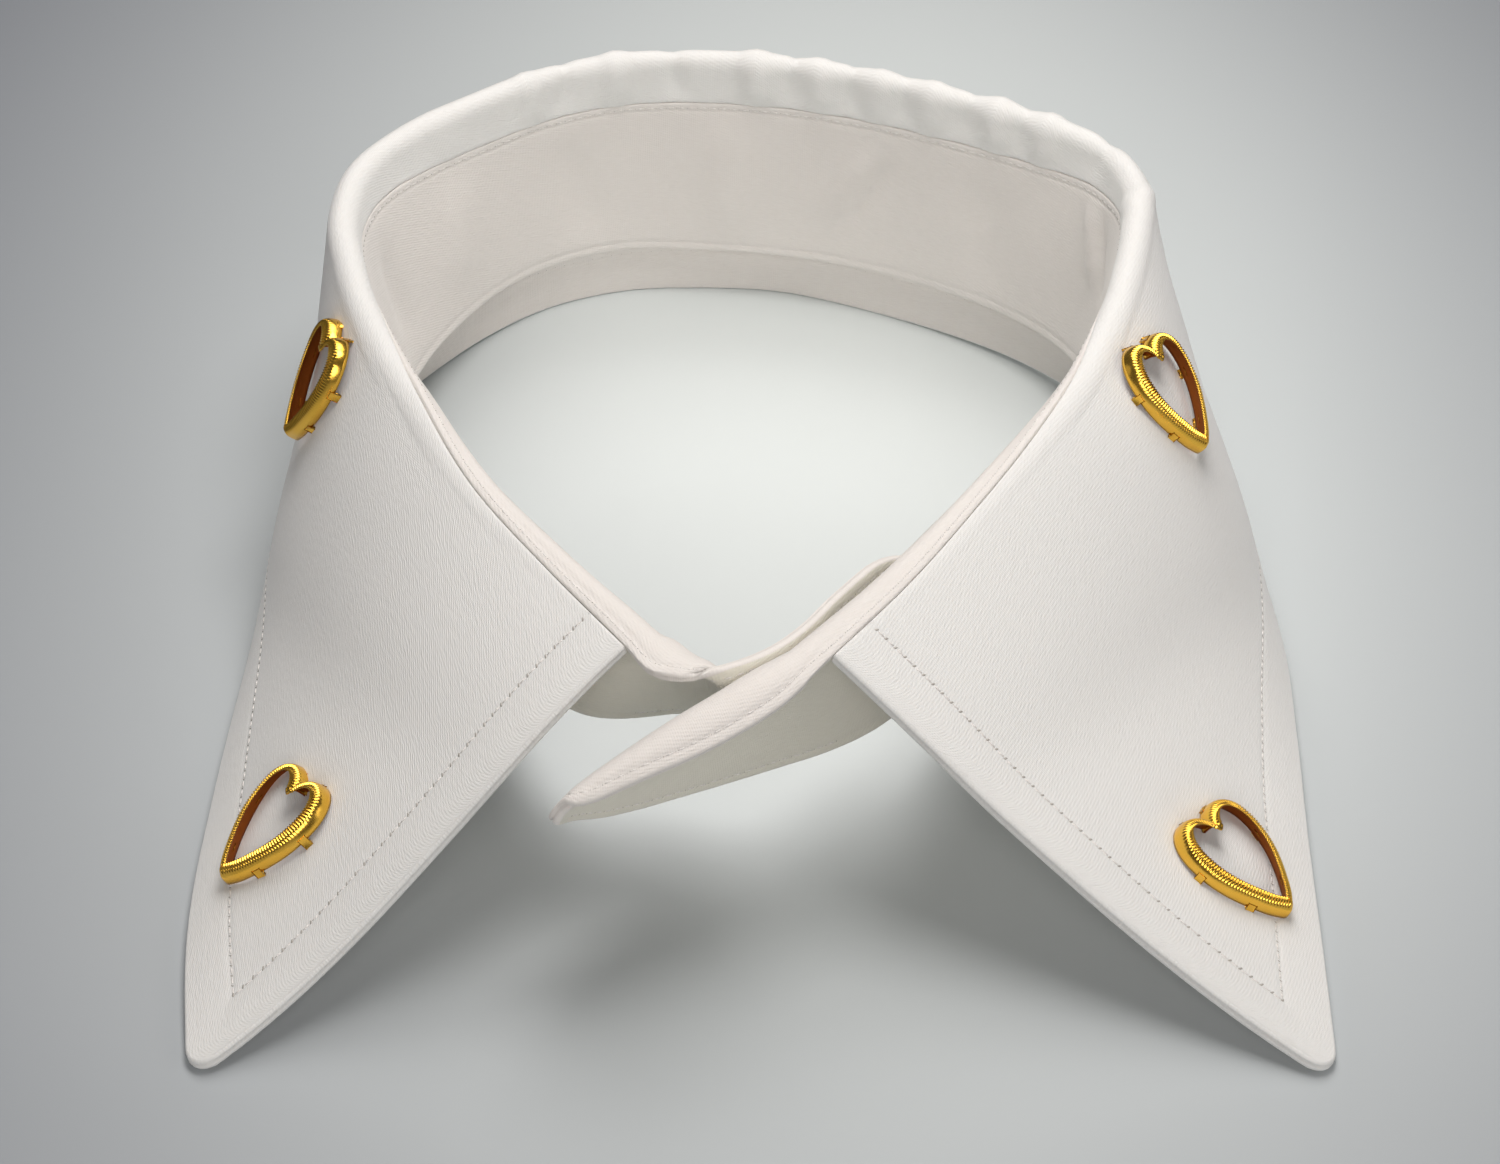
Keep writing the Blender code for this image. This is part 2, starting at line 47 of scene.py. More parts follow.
SAME_PLACE = 1e8          # places that agree when multiplied by this and rounded are one, in metres
MERGE = 2e-7              # points nearer than this are merged, in metres
MAP_UNIT = 100.0          # millimetres of cloth to one unit of its weave map

# Cloth
PLY = 1.3                 # thickness of the made-up cloth
EDGE_SWELL = 0.4          # extra thickness at the turned-in edges
EDGE_REACH = 5.0          # how far from an edge that dies out
EDGE_ROUND = 0.45         # how far the middle of a turned edge stands out
ROLL_SHARE = 0.55         # handles of the curve of the fold, in halves of its width
TURN_START = 1.1          # how far below its top the fold starts to turn, in halves of its width
LEAF_LEAN = 0.35          # how far the outer side of the fold turns towards the hem
PEAK_CUBIC = 6.75         # share * (1 - share) ** 2 peaks at one over this
WALL_STEPS = 12           # points up the wall of the stand, round each side of the fold, and down the leaf
TURN_STEPS = 16
LEAF_STEPS = 40
FOLD_PAST = 1.0           # the close columns of the fall go this far past the fold, and at least FOLD_LEAST
FOLD_LEAST = 7.0
TIP_ROUND = 4.4           # length of edge that the round of a pointed corner takes up
TIP_ROWS = 20             # rows in which that round lies, the column it is measured on, and its ease
TIP_COLUMN = -6
TIP_EASE = 20.0
SEAM_ROUND = 0.18         # how round the edges are that meet in the seam

# Turned edges: degrees round them from the outer face to the inner, where the seam line lies, and how deep
EDGE_TURNS = (66.0, 44.0, 27.0, 12.0, -3.0, -20.0, -40.0, -64.0)
LAST_TURN = -90.0
EDGE_LINE = 12.0
EDGE_NOTCH = 0.42

# The ring of the collar from the left front corner round the back to the right front corner. roll: top of
# the fold, foot: lower edge of the stand, hem: lower edge of the fall. seam: from the top of the fold down
# the outside, less than nothing on the inside. tight: half the width of the fold. bow_high and bow_low: how
# far the upper and lower part of the fall stand out of the straight line between fold and hem.
RING_COLUMNS = ("roll_x", "roll_y", "roll_z", "foot_x", "foot_y", "foot_z", "hem_x", "hem_y", "hem_z",
                "seam", "tight", "bow_high", "bow_low")
RING = (
    (-13.4, -140.5, 39.2, -15.0, -131.0, 18.3, -69.6, -180.2, 0.5, 3.0, 1.7, 0.6, -3.4),
    (-24.6, -127.3, 41.0, -24.8, -126.8, 16.8, -72.2, -157.5, 1.2, 2.2, 1.7, 0.9, -1.6),
    (-35.6, -112.5, 42.2, -33.0, -110.5, 15.8, -72.0, -131.5, 1.5, 1.2, 1.7, 1.4, -0.2),
    (-45.2, -93.8, 43.1, -41.5, -92.5, 14.8, -71.0, -104.5, 1.8, 0.0, 1.6, 2.0, 1.0),
    (-52.8, -77.0, 43.8, -48.5, -76.0, 13.8, -69.6, -83.0, 2.0, -1.6, 1.6, 1.4, 1.6),
    (-57.5, -62.0, 44.3, -52.0, -62.0, 13.0, -66.6, -65.5, 2.0, -3.4, 1.5, 1.1, 1.4),
    (-59.9, -48.0, 44.8, -52.6, -48.0, 12.2, -62.8, -50.0, 1.8, -5.2, 1.45, 0.8, 1.0),
    (-58.2, -35.6, 45.1, -50.2, -36.0, 11.0, -58.0, -37.6, 1.4, -6.8, 1.4, 1.2, 1.0),
    (-51.5, -25.4, 45.4, -45.8, -24.8, 10.3, -51.9, -26.6, 1.0, -7.8, 1.35, 0.8, 0.7),
    (-42.4, -17.0, 45.5, -40.6, -15.9, 10.0, -43.1, -14.9, 0.6, -8.3, 1.3, 0.5, 0.4),
    (-33.0, -9.8, 45.6, -32.6, -7.8, 9.8, -33.7, -5.8, 0.2, -8.5, 1.3, 0.4, 0.3),
    (-21.0, -4.6, 45.6, -20.6, -2.4, 9.6, -20.6, -0.2, 0.0, -8.5, 1.3, 0.4, 0.3),
    (-9.0, -3.5, 45.6, -9.0, -2.2, 9.5, -8.0, 0.6, 0.0, -8.5, 1.3, 0.4, 0.3),
    (3.5, -4.8, 45.6, 3.2, -3.7, 9.5, 5.0, -0.6, 0.0, -8.5, 1.3, 0.4, 0.3),
    (17.0, -8.5, 45.5, 16.4, -7.5, 9.6, 19.0, -6.0, 0.1, -8.5, 1.3, 0.4, 0.4),
    (32.0, -15.3, 45.4, 31.0, -15.0, 9.8, 34.2, -15.0, 0.6, -8.3, 1.3, 0.5, 0.5),
    (44.8, -22.5, 45.2, 41.6, -23.2, 10.0, 46.5, -25.4, 1.2, -7.9, 1.35, 0.7, 0.7),
    (54.1, -30.5, 45.0, 48.6, -32.0, 10.3, 55.2, -36.2, 1.6, -7.0, 1.4, 1.1, 1.0),
    (57.7, -41.2, 44.8, 52.2, -41.2, 10.8, 61.6, -47.8, 1.8, -5.8, 1.45, 1.6, 1.5),
    (56.5, -52.0, 44.5, 52.2, -51.5, 11.4, 66.6, -57.5, 2.0, -4.6, 1.5, 1.9, 1.9),
    (54.1, -63.5, 44.2, 50.2, -62.8, 12.0, 71.0, -69.0, 2.0, -3.4, 1.5, 2.2, 2.1),
    (50.6, -75.5, 43.7, 46.8, -74.2, 12.8, 74.2, -82.0, 2.0, -1.8, 1.6, 2.4, 2.0),
    (44.8, -89.8, 43.1, 41.2, -88.0, 13.7, 75.6, -99.0, 1.9, -0.4, 1.6, 2.2, 1.0),
    (36.9, -103.5, 42.4, 34.0, -101.7, 14.6, 74.9, -117.5, 1.7, 0.6, 1.7, 1.4, -0.2),
    (28.1, -116.9, 41.5, 26.2, -115.2, 15.4, 73.9, -137.0, 1.5, 1.4, 1.7, 0.6, -1.4),
    (18.7, -129.8, 40.5, 18.9, -128.3, 16.2, 73.4, -158.5, 1.2, 2.3, 1.7, -0.2, -2.4),
    (8.0, -142.6, 39.3, 9.6, -137.6, 17.8, 72.6, -180.4, 0.5, 3.0, 1.7, -0.9, -2.8),
)

# The tabs of the stand, from their front corner out to the rounded end.
TAB_COLUMNS = ("roll_x", "roll_y", "roll_z", "foot_x", "foot_y", "foot_z", "edge_x", "edge_y", "edge_z")
LEFT_TAB = (
    (-10.7, -143.0, 38.7, -9.8, -131.2, 19.2, -12.6, -146.3, 37.9),
    (-8.8, -145.2, 38.2, -7.4, -132.0, 19.8, -10.3, -147.1, 37.8),
    (-6.7, -146.5, 37.9, -4.6, -132.7, 20.5, -7.6, -147.2, 37.7),
    (-2.6, -146.9, 34.8, -0.8, -133.6, 21.4, -2.4, -145.4, 38.0),
    (2.9, -143.9, 34.8, 3.9, -134.0, 23.0, 2.6, -142.3, 38.0),
    (7.7, -138.8, 34.9, 7.9, -130.5, 23.8, 7.0, -137.6, 38.0),
    (11.2, -133.6, 35.0, 11.6, -127.0, 24.6, 10.4, -132.4, 38.0),
    (14.8, -128.7, 35.2, 15.0, -123.6, 26.0, 13.9, -127.5, 38.0),
    (18.1, -124.2, 35.6, 17.9, -120.6, 27.8, 17.4, -123.1, 38.1),
    (21.6, -120.0, 35.6, 21.2, -117.6, 29.8, 21.1, -119.0, 38.0),
)
RIGHT_TAB = (
    (2.4, -147.8, 38.6, 4.0, -140.4, 17.9, 4.2, -150.8, 36.8),
    (-3.2, -151.8, 37.5, -2.6, -143.6, 18.0, -1.8, -155.2, 35.4),
    (-8.6, -155.2, 36.1, -9.2, -147.0, 18.4, -7.6, -158.4, 34.2),
    (-13.2, -157.8, 34.5, -13.8, -150.2, 19.4, -12.8, -160.5, 33.0),
    (-17.2, -160.0, 32.9, -17.4, -153.6, 21.2, -17.1, -162.0, 31.7),
    (-20.8, -162.0, 31.4, -20.8, -156.8, 23.0, -21.0, -163.4, 30.5),
    (-24.2, -163.5, 28.9, -24.0, -160.5, 25.0, -24.4, -164.6, 30.0),
)
UPRIGHT_WALL = 0.65       # share of an upright tab, from its foot, that is flat
UPRIGHT_BEND = 0.97       # share at which the handle of its bend lies
TAB_TIGHT = 2.6           # half the width of the roll of a tab, at most
TAB_TIGHT_SHARE = 0.3     # and at most this share of its height
LIP_STEPS = 8             # points down the lip of a rolled tab, and the handles of its curve as shares
LIP_OUT = 0.4
LIP_DOWN = 0.2
TAB_ROUND = 9.0           # length of tab that its rounded end takes up
END_STEPS = 22            # rows in that end, and the least share of a row that is kept
END_LEAST = 0.06
LEFT_TAB_LONG = 41.0
RIGHT_TAB_LONG = 36.0

# Distances from an edge at which the cloth has a line of points, so that sewn lines lie in a real ditch.
EDGE_LINES = (
    0.0, 0.08, 0.3, 0.6, 1.1, 1.8, 2.7, 3.8, 4.9, 5.8, 6.4, 6.8, 7.2, 7.6, 8.0, 8.6, 9.5, 10.8, 12.4,
)
BAND_LINES = (0.0, 0.3, 0.6, 0.9, 1.2, 1.5, 1.9, 2.5, 3.3, 4.2, 5.4)
BAND_LINES_SHARE = 0.42   # on a short section the lines reach in by at most this share of it
FALL_FINE = 26            # columns of the fall over the fold and down the leaf, and rows along it
FALL_WIDE = 34
FALL_ALONG = 300
STAND_WIDE = 24
STAND_ALONG = 330

# Stitching
HEM_STITCH = 7.2          # from the edges of the fall to its stitching
TAB_STITCH = 1.2          # from the edge of a tab to its stitching
SEAM_STITCH = 0.8         # from the seam to the stitching of the stand
BAND_DITCH = 0.16         # how deep the stitching of the stand lies
BAND_DITCH_WIDE = 0.26
DITCH_DEEP = 0.16
DITCH_WIDE = 0.42
STITCH_PITCH = 1.65
STITCH_LONG = 1.25
THREAD = 0.30             # thickness of the sewing thread
HOLE_LONG = 1.25          # needle holes: ticks of painted shade that slant across the line
HOLE_WIDE = 0.36
HOLE_TALL = 0.20
HOLE_SLANT = math.radians(62.0)
STITCH_LOOK = 0.4         # the direction of a stitch is read this far before and behind it
STITCH_RISE = 0.02        # how far the stitches stand out: outside the fall, under it and on the stand
STITCH_RISE_UNDER = -0.13
STITCH_RISE_BAND = -0.05
SIDE_HOLES = 0.55         # size of the needle holes along the hem, under the fall and on the stand, as shares
UNDER_HOLES = 0.3
BAND_HOLES = 0.2
FALL_UNSEWN = 4           # columns at the seam, and rows at the two ends of the stand, without stitches
BAND_UNSEWN = (10, 9)
FOOT_SEWN = 6.0           # how far the stitching at the foot of a tab goes into the ring
SEWN_EASE = 5.0           # length over which the stitching changes its distance from the edge

# Uneven puffing beside the stitching: steady height, height of the waves, their pitch, and their seed
PUFF_WIDE = 2.6
PUFF_OUTSIDE = (0.10, 0.07, 6.0, 3)
PUFF_UNDER = (0.05, 0.10, 5.0, 8)
PUFF_HEM = (0.0, 0.22, 6.0, 5)
PUFF_HEM_IN = 6.0
PUFF_HEM_WIDE = 5.0
PUFF_BAND = (0.0, 0.05, 5.0, 12)
PUFF_BAND_IN = 0.8
PUFF_BAND_WIDE = 0.8
WAVES = 5                 # sine waves in an uneven row, the spread of their pitches, and of their starts
WAVE_SPREAD = (0.75, 1.5)
WAVE_START = 6.28

# Soft folds and dents of the fall: place along it as a share, place down it from its seam in mm, direction
# in degrees from along it, length, width, height (out is more than nothing).
FALL_FOLDS = (
    (0.405, 4.8, 88, 8, 1.6, 0.94), (0.422, 5.2, 80, 8, 1.4, -0.74), (0.445, 4.8, 84, 8, 2.0, 1.28),
    (0.47, 5.2, 95, 8, 1.6, -0.81), (0.505, 4.9, 90, 8, 2.2, 1.35), (0.52, 5.4, 84, 8, 1.1, -0.68),
    (0.532, 4.9, 96, 8, 1.6, 1.01), (0.546, 5.2, 90, 8, 1.2, -0.81), (0.558, 4.9, 84, 8, 1.5, 0.88),
    (0.57, 5.2, 98, 8, 1.1, -0.61), (0.582, 4.9, 92, 8, 1.7, 1.01), (0.598, 5.2, 84, 8, 1.3, -0.68),
    (0.612, 4.8, 100, 8, 1.9, 1.28), (0.623, 5.2, 92, 8, 1.0, -0.54), (0.635, 4.8, 96, 8, 1.7, 1.08),
    (0.662, 5.2, 90, 8, 2.0, -0.68),
    (0.70, 4.0, 90, 8, 2.0, 0.5), (0.36, 4.0, 90, 8, 2.6, 0.35), (0.33, 3.0, 90, 8, 2.6, -0.25),
    (0.10, 34, 12, 70, 9, -0.75), (0.13, 62, 4, 80, 8, 0.35), (0.21, 38, 20, 46, 8, 0.4),
    (0.255, 30, 78, 34, 6, -0.42), (0.295, 34, 86, 36, 5, 0.35), (0.335, 36, 90, 38, 6, -0.3),
    (0.39, 36, 84, 40, 7, 0.28), (0.44, 34, 95, 36, 8, -0.22), (0.50, 38, 90, 34, 9, 0.25),
    (0.56, 34, 88, 38, 8, -0.25), (0.61, 36, 96, 36, 7, 0.28), (0.665, 34, 90, 38, 6, -0.35),
    (0.70, 36, 84, 36, 5, 0.38), (0.745, 32, 100, 36, 6, -0.4), (0.80, 38, 160, 46, 8, 0.35),
    (0.905, 34, 168, 74, 9, -0.8), (0.87, 62, 176, 80, 8, 0.35),
    (0.066, 46, 70, 12, 2.2, -0.35), (0.935, 50, 105, 12, 2.2, -0.3), (0.212, 11, 80, 10, 2.2, -0.25),
)
# The same for the stand, with the place up from its foot.
STAND_FOLDS = (
    (0.30, 12, 70, 18, 3.0, 1.07), (0.345, 14, 96, 16, 3.4, -1), (0.39, 15, 84, 17, 3.8, 0.94),
    (0.445, 13, 100, 18, 3.6, -0.85), (0.50, 14, 86, 20, 4.2, 0.94), (0.545, 16, 64, 14, 1.5, 1.07),
    (0.553, 15, 64, 14, 1.5, -0.94), (0.60, 12, 92, 18, 4.0, -0.85), (0.648, 20, 112, 12, 1.3, 1.14),
    (0.656, 19, 112, 12, 1.4, -0.85), (0.70, 14, 90, 18, 3.8, 0.94), (0.75, 12, 84, 17, 3.2, -0.94),
    (0.20, 14, 100, 16, 4.0, -0.9), (0.14, 12, 80, 15, 3.6, 0.78), (0.82, 12, 96, 15, 3.4, 0.85),
    (0.88, 14, 80, 14, 3.6, -0.78),
)

# Hearts: place along the fall and down it as shares, and how far the point turns from straight down to the
# front, in degrees.
HEARTS = (
    ("heart_upper_left", 0.2088, 0.2956, -5.1),
    ("heart_upper_right", 0.801, 0.2641, 16.4),
    ("heart_lower_left", 0.0664, 0.762, 2.1),
    ("heart_lower_right", 0.9387, 0.8092, 8.2),
)
HEART_WIDE = 15.6
HEART_LONG = 17.8
HEART_HALF = (            # half of a heart, from its notch round to its point: shares across and down
    (0.0, 0.150), (0.10, 0.085), (0.28, 0.025), (0.52, 0.0), (0.76, 0.035), (0.93, 0.12), (1.0, 0.24),
    (0.985, 0.35), (0.93, 0.46), (0.82, 0.575), (0.66, 0.69), (0.47, 0.80), (0.25, 0.91), (0.0, 1.0),
)
HEART_FINE = 240          # points round half of it
RIM_WIDE = 1.6            # across the metal of a heart
RIM_TALL = 2.1            # from the base of the rim to its top
RIM_THICK = 0.34          # the heart is pressed from sheet: a lip that curves out and down to its base
RIM_LIP = 0.62
RIM_DROP = 0.5            # the skirt of the rim reaches down this far towards the cloth
RIM_TURN_STEPS = 12       # points over the curve of the rim, and how square it is across and up
RIM_SQUARE_ACROSS = 0.9
RIM_SQUARE_UP = 0.85
RIM_CURL = ((0.14, 0.10, 1.0), (0.17, 0.30, 0.5))   # the lip's inner edge: in, down, and share of milling
RIM_CLEAR = 0.75          # from the cloth to the base of the rim
RIM_STEPS = 696           # places round a heart
RIM_LOOK = 5              # the direction of the rim is read this many places before and behind
MILLING = 116             # ridges round the lip of a heart
MILLING_DEEP = 0.22
MILLING_IN = 0.4          # how far a ridge goes inwards, as a share of its depth
MILLING_FROM = 0.64       # share of the height above which the rim is milled, and how fast that sets in
MILLING_GAIN = 3.0
CLAW_PLACES = (0.075, 0.25, 0.40, 0.60, 0.75, 0.925)
CLAW_WIDE = 1.2
CLAW_THICK = 0.34
CLAW_OUT = 0.25           # how far the lower end of a claw stands out from the rim
CLAW_LEAN = 0.6           # how far its upper end lies in, in its own thicknesses
CLAW_SINK = 0.2           # how far it goes into the cloth
CLAW_TOP = 0.2            # and up over the base of the rim
CLAW_BEVEL = 0.1
DROP_TRIES = 4
HEART_MERGE = 1e-7        # points of a heart nearer than this are merged, in metres

# Finishes: name, pale colour, dark colour, roughness
FALL_COTTON = ("white_cotton_twill_fall", (0.84, 0.84, 0.82, 1.0), (0.78, 0.775, 0.755, 1.0), 0.62)
# The under and band cottons are the fall's white twill tinted cream and yellow: painted warm shade, for the
# light bounced between the cloth onto the faces that lie in shade.
UNDER_COTTON_WARM_SHADE = ("white_cotton_twill_under_painted_warm_shade", (0.82, 0.785, 0.75, 1.0), (0.755, 0.72, 0.685, 1.0), 0.7)
BAND_COTTON_WARM_SHADE = ("white_cotton_twill_band_painted_warm_shade", (0.81, 0.79, 0.70, 1.0), (0.745, 0.725, 0.635, 1.0), 0.66)
GOLD_OUTSIDE = ("yellow_gold_plating", (0.96, 0.59, 0.095), 0.14)
# Inside the rim the gold is darker and red-brown: painted shade and dark reflections in its hollow.
GOLD_INSIDE_PAINTED_SHADE = ("gold_inside_painted_shade", (0.36, 0.11, 0.025), 0.32)
TARNISH = (0.9, 0.82, 0.6)
THREAD_DARK = (0.74, 0.71, 0.68, 1.0)
THREAD_PALE = (0.86, 0.83, 0.80, 1.0)
# The needle holes are painted shade: dark and pale colour of their ticks.
HOLE_SHADE_DARK = (0.36, 0.34, 0.31, 1.0)
HOLE_SHADE_PALE = (0.56, 0.53, 0.49, 1.0)
TWILL_PITCH = 0.42        # mm between ribs of the weave, and their direction along and down the cloth
TWILL_ALONG = 0.33
TWILL_DOWN = 0.944
THREAD_PITCH = 0.3        # mm between the threads that cross the ribs
RIB_WANDER = 3.0
RIB_HIGH = 0.15
RIB_TINT = 0.05
CROSS_HIGH = 0.1
SLUB_HIGH = 1.3
SLUB_TURN = math.radians(-19.0)
SLUB_STRETCH = (0.35, 2.2, 1.0)

# Table: a painted pool of light, palest behind the middle of the ring, darker to its sides and away
TABLE_HALF = 3.0
TABLE_DOWN = -0.00015     # just below the cloth, in metres
TABLE_LIGHT_CENTRE = (-0.094, -0.268, 0.0)
TABLE_LIGHT_FALLING = (7.6, 3.63, 0.0)
TABLE_LEAST_LIGHT = 0.3
TABLE_SHADE_DARK = (0.0, 0.0, 0.05, 1.0)
TABLE_PALE_LIT = (0.765, 0.815, 0.81, 1.0)

# Lights: name, place and aim in metres, width, power
WARM = (1.036, 0.995, 0.967)
LIGHTS = (
    ("lamp_over_ring", (0.03, 0.0, 0.33), (0.03, 0.0, 0.0), 0.16, 0.473),
    ("lamp_over_back", (0.03, 0.14, 0.33), (0.03, 0.14, 0.0), 0.16, 0.13),
    ("window_behind", (-0.03, 0.36, 0.56), (0.0, -0.005, 0.0), 0.4, 1.42),
    ("fill_front", (0.0, -0.8, 0.45), (0.0, 0.0, 0.02), 0.5, 2.7),
    ("fill_left", (-0.7, -0.1, 0.35), (0.0, 0.0, 0.02), 0.5, 0.21),
    ("fill_right", (0.7, -0.3, 0.35), (0.04, -0.03, 0.02), 0.5, 0.75),
)
ROOM_COLOUR = (1.0, 0.98, 0.96, 1.0)
ROOM_LIGHT = 0.081

# Camera: the photograph's width and focal length in its pixels, and where it was taken from
PHOTO_WIDE = 1500.0
PHOTO_FOCAL = 3400.0
SENSOR_WIDE = 36.0
CAMERA_PLACE = (0.0, -475.07, 309.0)
CAMERA_TILT = math.radians(52.0)
CAMERA_NEAREST = 0.01


# Measuring along lines of points

def unit(vectors):
    vectors = np.asarray(vectors, float)
    return vectors / np.maximum(np.linalg.norm(vectors, axis=-1, keepdims=True), 1e-9)


def column(table, names, name):
    return np.array([row[names.index(name)] for row in table], float)


def columns(table, names, prefix):
    picks = [names.index(prefix + axis) for axis in ("_x", "_y", "_z")]
    return np.array([[row[k] for k in picks] for row in table], float)


def lengths_along(points):
    steps = np.linalg.norm(np.diff(points, axis=0), axis=1)
    return np.concatenate([[0.0], np.cumsum(steps)])


def at_length(points, wanted):
    places = lengths_along(points)
    return np.stack([np.interp(wanted, places, points[:, k]) for k in range(3)], axis=1)


def bezier(a, b, c, d, steps):
    t = np.linspace(0.0, 1.0, steps)[:, None]
    return (1 - t) ** 3 * a + 3 * (1 - t) ** 2 * t * b + 3 * (1 - t) * t ** 2 * c + t ** 3 * d


def spline(rows, at_rows, wanted):
    """A smooth curve through rows of values that stand at at_rows, read at the wanted places."""
    rows = np.asarray(rows, float)
    slope = np.gradient(rows.reshape(len(rows), -1), at_rows, axis=0).reshape(rows.shape)
    k = np.clip(np.searchsorted(at_rows, wanted, side="right") - 1, 0, len(at_rows) - 2)
    span = at_rows[k + 1] - at_rows[k]
    t = (wanted - at_rows[k]) / span
    shape = (len(wanted),) + (1,) * (rows.ndim - 1)
    t, span = t.reshape(shape), span.reshape(shape)
    return ((2 * t ** 3 - 3 * t ** 2 + 1) * rows[k] + (t ** 3 - 2 * t ** 2 + t) * span * slope[k]
            + (3 * t ** 2 - 2 * t ** 3) * rows[k + 1] + (t ** 3 - t ** 2) * span * slope[k + 1])


def normals(grid):
    return unit(np.cross(np.gradient(grid, axis=0), np.gradient(grid, axis=1)))


# The section of the collar, from the foot of the stand up over the fold and down to the hem

def outward(rail):
    along = np.gradient(rail, axis=0)
    along[:, 2] = 0.0
    along = unit(along)
    return np.stack([-along[:, 1], along[:, 0], np.zeros(len(rail))], axis=1)


def wall_and_round(foot, roll, out, tight):
    corner = roll - out * tight
    up = unit(corner - foot)
    start = corner - up * tight * TURN_START
    wall = foot + (start - foot) * np.linspace(0.0, 1.0, WALL_STEPS)[:-1, None]
    handle = tight * ROLL_SHARE
    turn = bezier(start, start + up * handle * TURN_START, roll - out * handle, roll, TURN_STEPS)
    return np.concatenate([wall, turn])


def round_and_leaf(roll, hem, out, tight, bow_high, bow_low):
    away = hem - roll
    level = unit(np.array([away[0], away[1], 0.0]))
    side = unit(out + LEAF_LEAN * level)
    corner = roll + side * tight
    down = unit(hem - corner)
    start = corner + down * tight * TURN_START
    handle = tight * ROLL_SHARE
    turn = bezier(roll, roll + out * handle, start - down * handle * TURN_START, start, TURN_STEPS)
    share = np.linspace(0.0, 1.0, LEAF_STEPS)[1:, None]
    lift = unit(np.cross(np.cross(down, np.array([0.0, 0.0, 1.0])), down))
    bulge = PEAK_CUBIC * share * (1.0 - share) * (bow_high * (1.0 - share) + bow_low * share)
    return np.concatenate([turn, start + (hem - start) * share + lift * bulge])


def ring_profiles():
    roll = columns(RING, RING_COLUMNS, "roll")
    foot = columns(RING, RING_COLUMNS, "foot")
    hem = columns(RING, RING_COLUMNS, "hem")
    seam, tight, high, low = (column(RING, RING_COLUMNS, n) for n in ("seam", "tight", "bow_high", "bow_low"))
    out = outward(roll)
    profiles = []
    for k in range(len(RING)):
        inner = wall_and_round(foot[k], roll[k], out[k], tight[k])
        outer = round_and_leaf(roll[k], hem[k], out[k], tight[k], high[k], low[k])
        profiles.append((np.concatenate([inner, outer[1:]]), lengths_along(inner)[-1] + seam[k]))
    return roll, profiles


def along_columns(grid, wanted_of):
    """The same sheet with its points moved along each of its columns to the wanted distances."""
    moved = []
    for j in range(grid.shape[1]):
        line = grid[:, j]
        moved.append(at_length(line, wanted_of(lengths_along(line)[-1])))
    return np.stack(moved, axis=1)


def between_edges(whole, lines, steps):
    """Distances along a length: at the given lines from both ends, and evenly in between."""
    lines = np.array(lines)
    middle = np.linspace(lines[-1], whole - lines[-1], steps)
    return np.concatenate([lines, middle[1:-1], whole - lines[::-1]])


def fall_sheet():
    """Middle surface of the fall: rows from the left front edge to the right, columns from seam to hem."""
    roll, profiles = ring_profiles()
    sections = []
    for profile, seam in profiles:
        whole = lengths_along(profile)[-1]
        start = seam + SEAM_ROUND
        fold = lengths_along(profile)[WALL_STEPS + 2 * TURN_STEPS - 2] + FOLD_PAST - start
        fold = max(fold, FOLD_LEAST)
        length = whole - start
        fine = np.linspace(0.0, fold, FALL_FINE)
        wide = np.linspace(fold, length - EDGE_LINES[-1], FALL_WIDE)
        places = np.concatenate([fine, wide[1:], length - np.array(EDGE_LINES[::-1])[1:]])
        sections.append(at_length(profile, start + places))
    sections = np.array(sections)
    rail = lengths_along(roll)
    dense = spline(sections, rail, np.linspace(0.0, rail[-1], 4 * FALL_ALONG))
    grid = along_columns(dense, lambda whole: between_edges(whole, EDGE_LINES, FALL_ALONG))
    return round_tips(grid)


def round_tips(grid):
    """Rounds the pointed corners of the fall, by ending the rows there short of the hem along a curve."""
    for way in (1, -1):
        rows = grid[::way]
        from_edge = lengths_along(rows[:TIP_ROWS, TIP_COLUMN])
        for row, off in zip(rows[:TIP_ROWS], from_edge):
            if off >= TIP_ROUND:
                continue
            short = TIP_ROUND - math.sqrt(TIP_ROUND ** 2 - (TIP_ROUND - off) ** 2)
            places = lengths_along(row)
            share = np.clip((places - places[-1] + TIP_EASE) / TIP_EASE, 0.0, 1.0) ** 2
            row[:] = at_length(row.copy(), places - short * share)
    return grid


def tab_section(roll, foot, edge):
    """Section of a tab from its foot to its upper edge. Where the edge lies below the roll, the tab rolls
    over outward. Where it lies above, roll is the part of an upright tab that stands out furthest."""
    if edge[2] > roll[2]:
        rise = roll - foot
        wall = foot + rise * np.linspace(0.0, UPRIGHT_WALL, WALL_STEPS)[:-1, None]
        bend = bezier(foot + rise * UPRIGHT_WALL, foot + rise * UPRIGHT_BEND, roll, edge, TURN_STEPS)
        return np.concatenate([wall, bend])
    out = unit((edge - roll) * (1.0, 1.0, 0.0))
    lip = np.linalg.norm(edge - roll)
    inner = wall_and_round(foot, roll, out, min(TAB_TIGHT, TAB_TIGHT_SHARE * np.linalg.norm(roll - foot)))
    down = edge - unit(edge - roll) * lip * LIP_DOWN
    outer = bezier(roll, roll + out * lip * LIP_OUT, down, edge, LIP_STEPS)
    return np.concatenate([inner, outer[1:]])


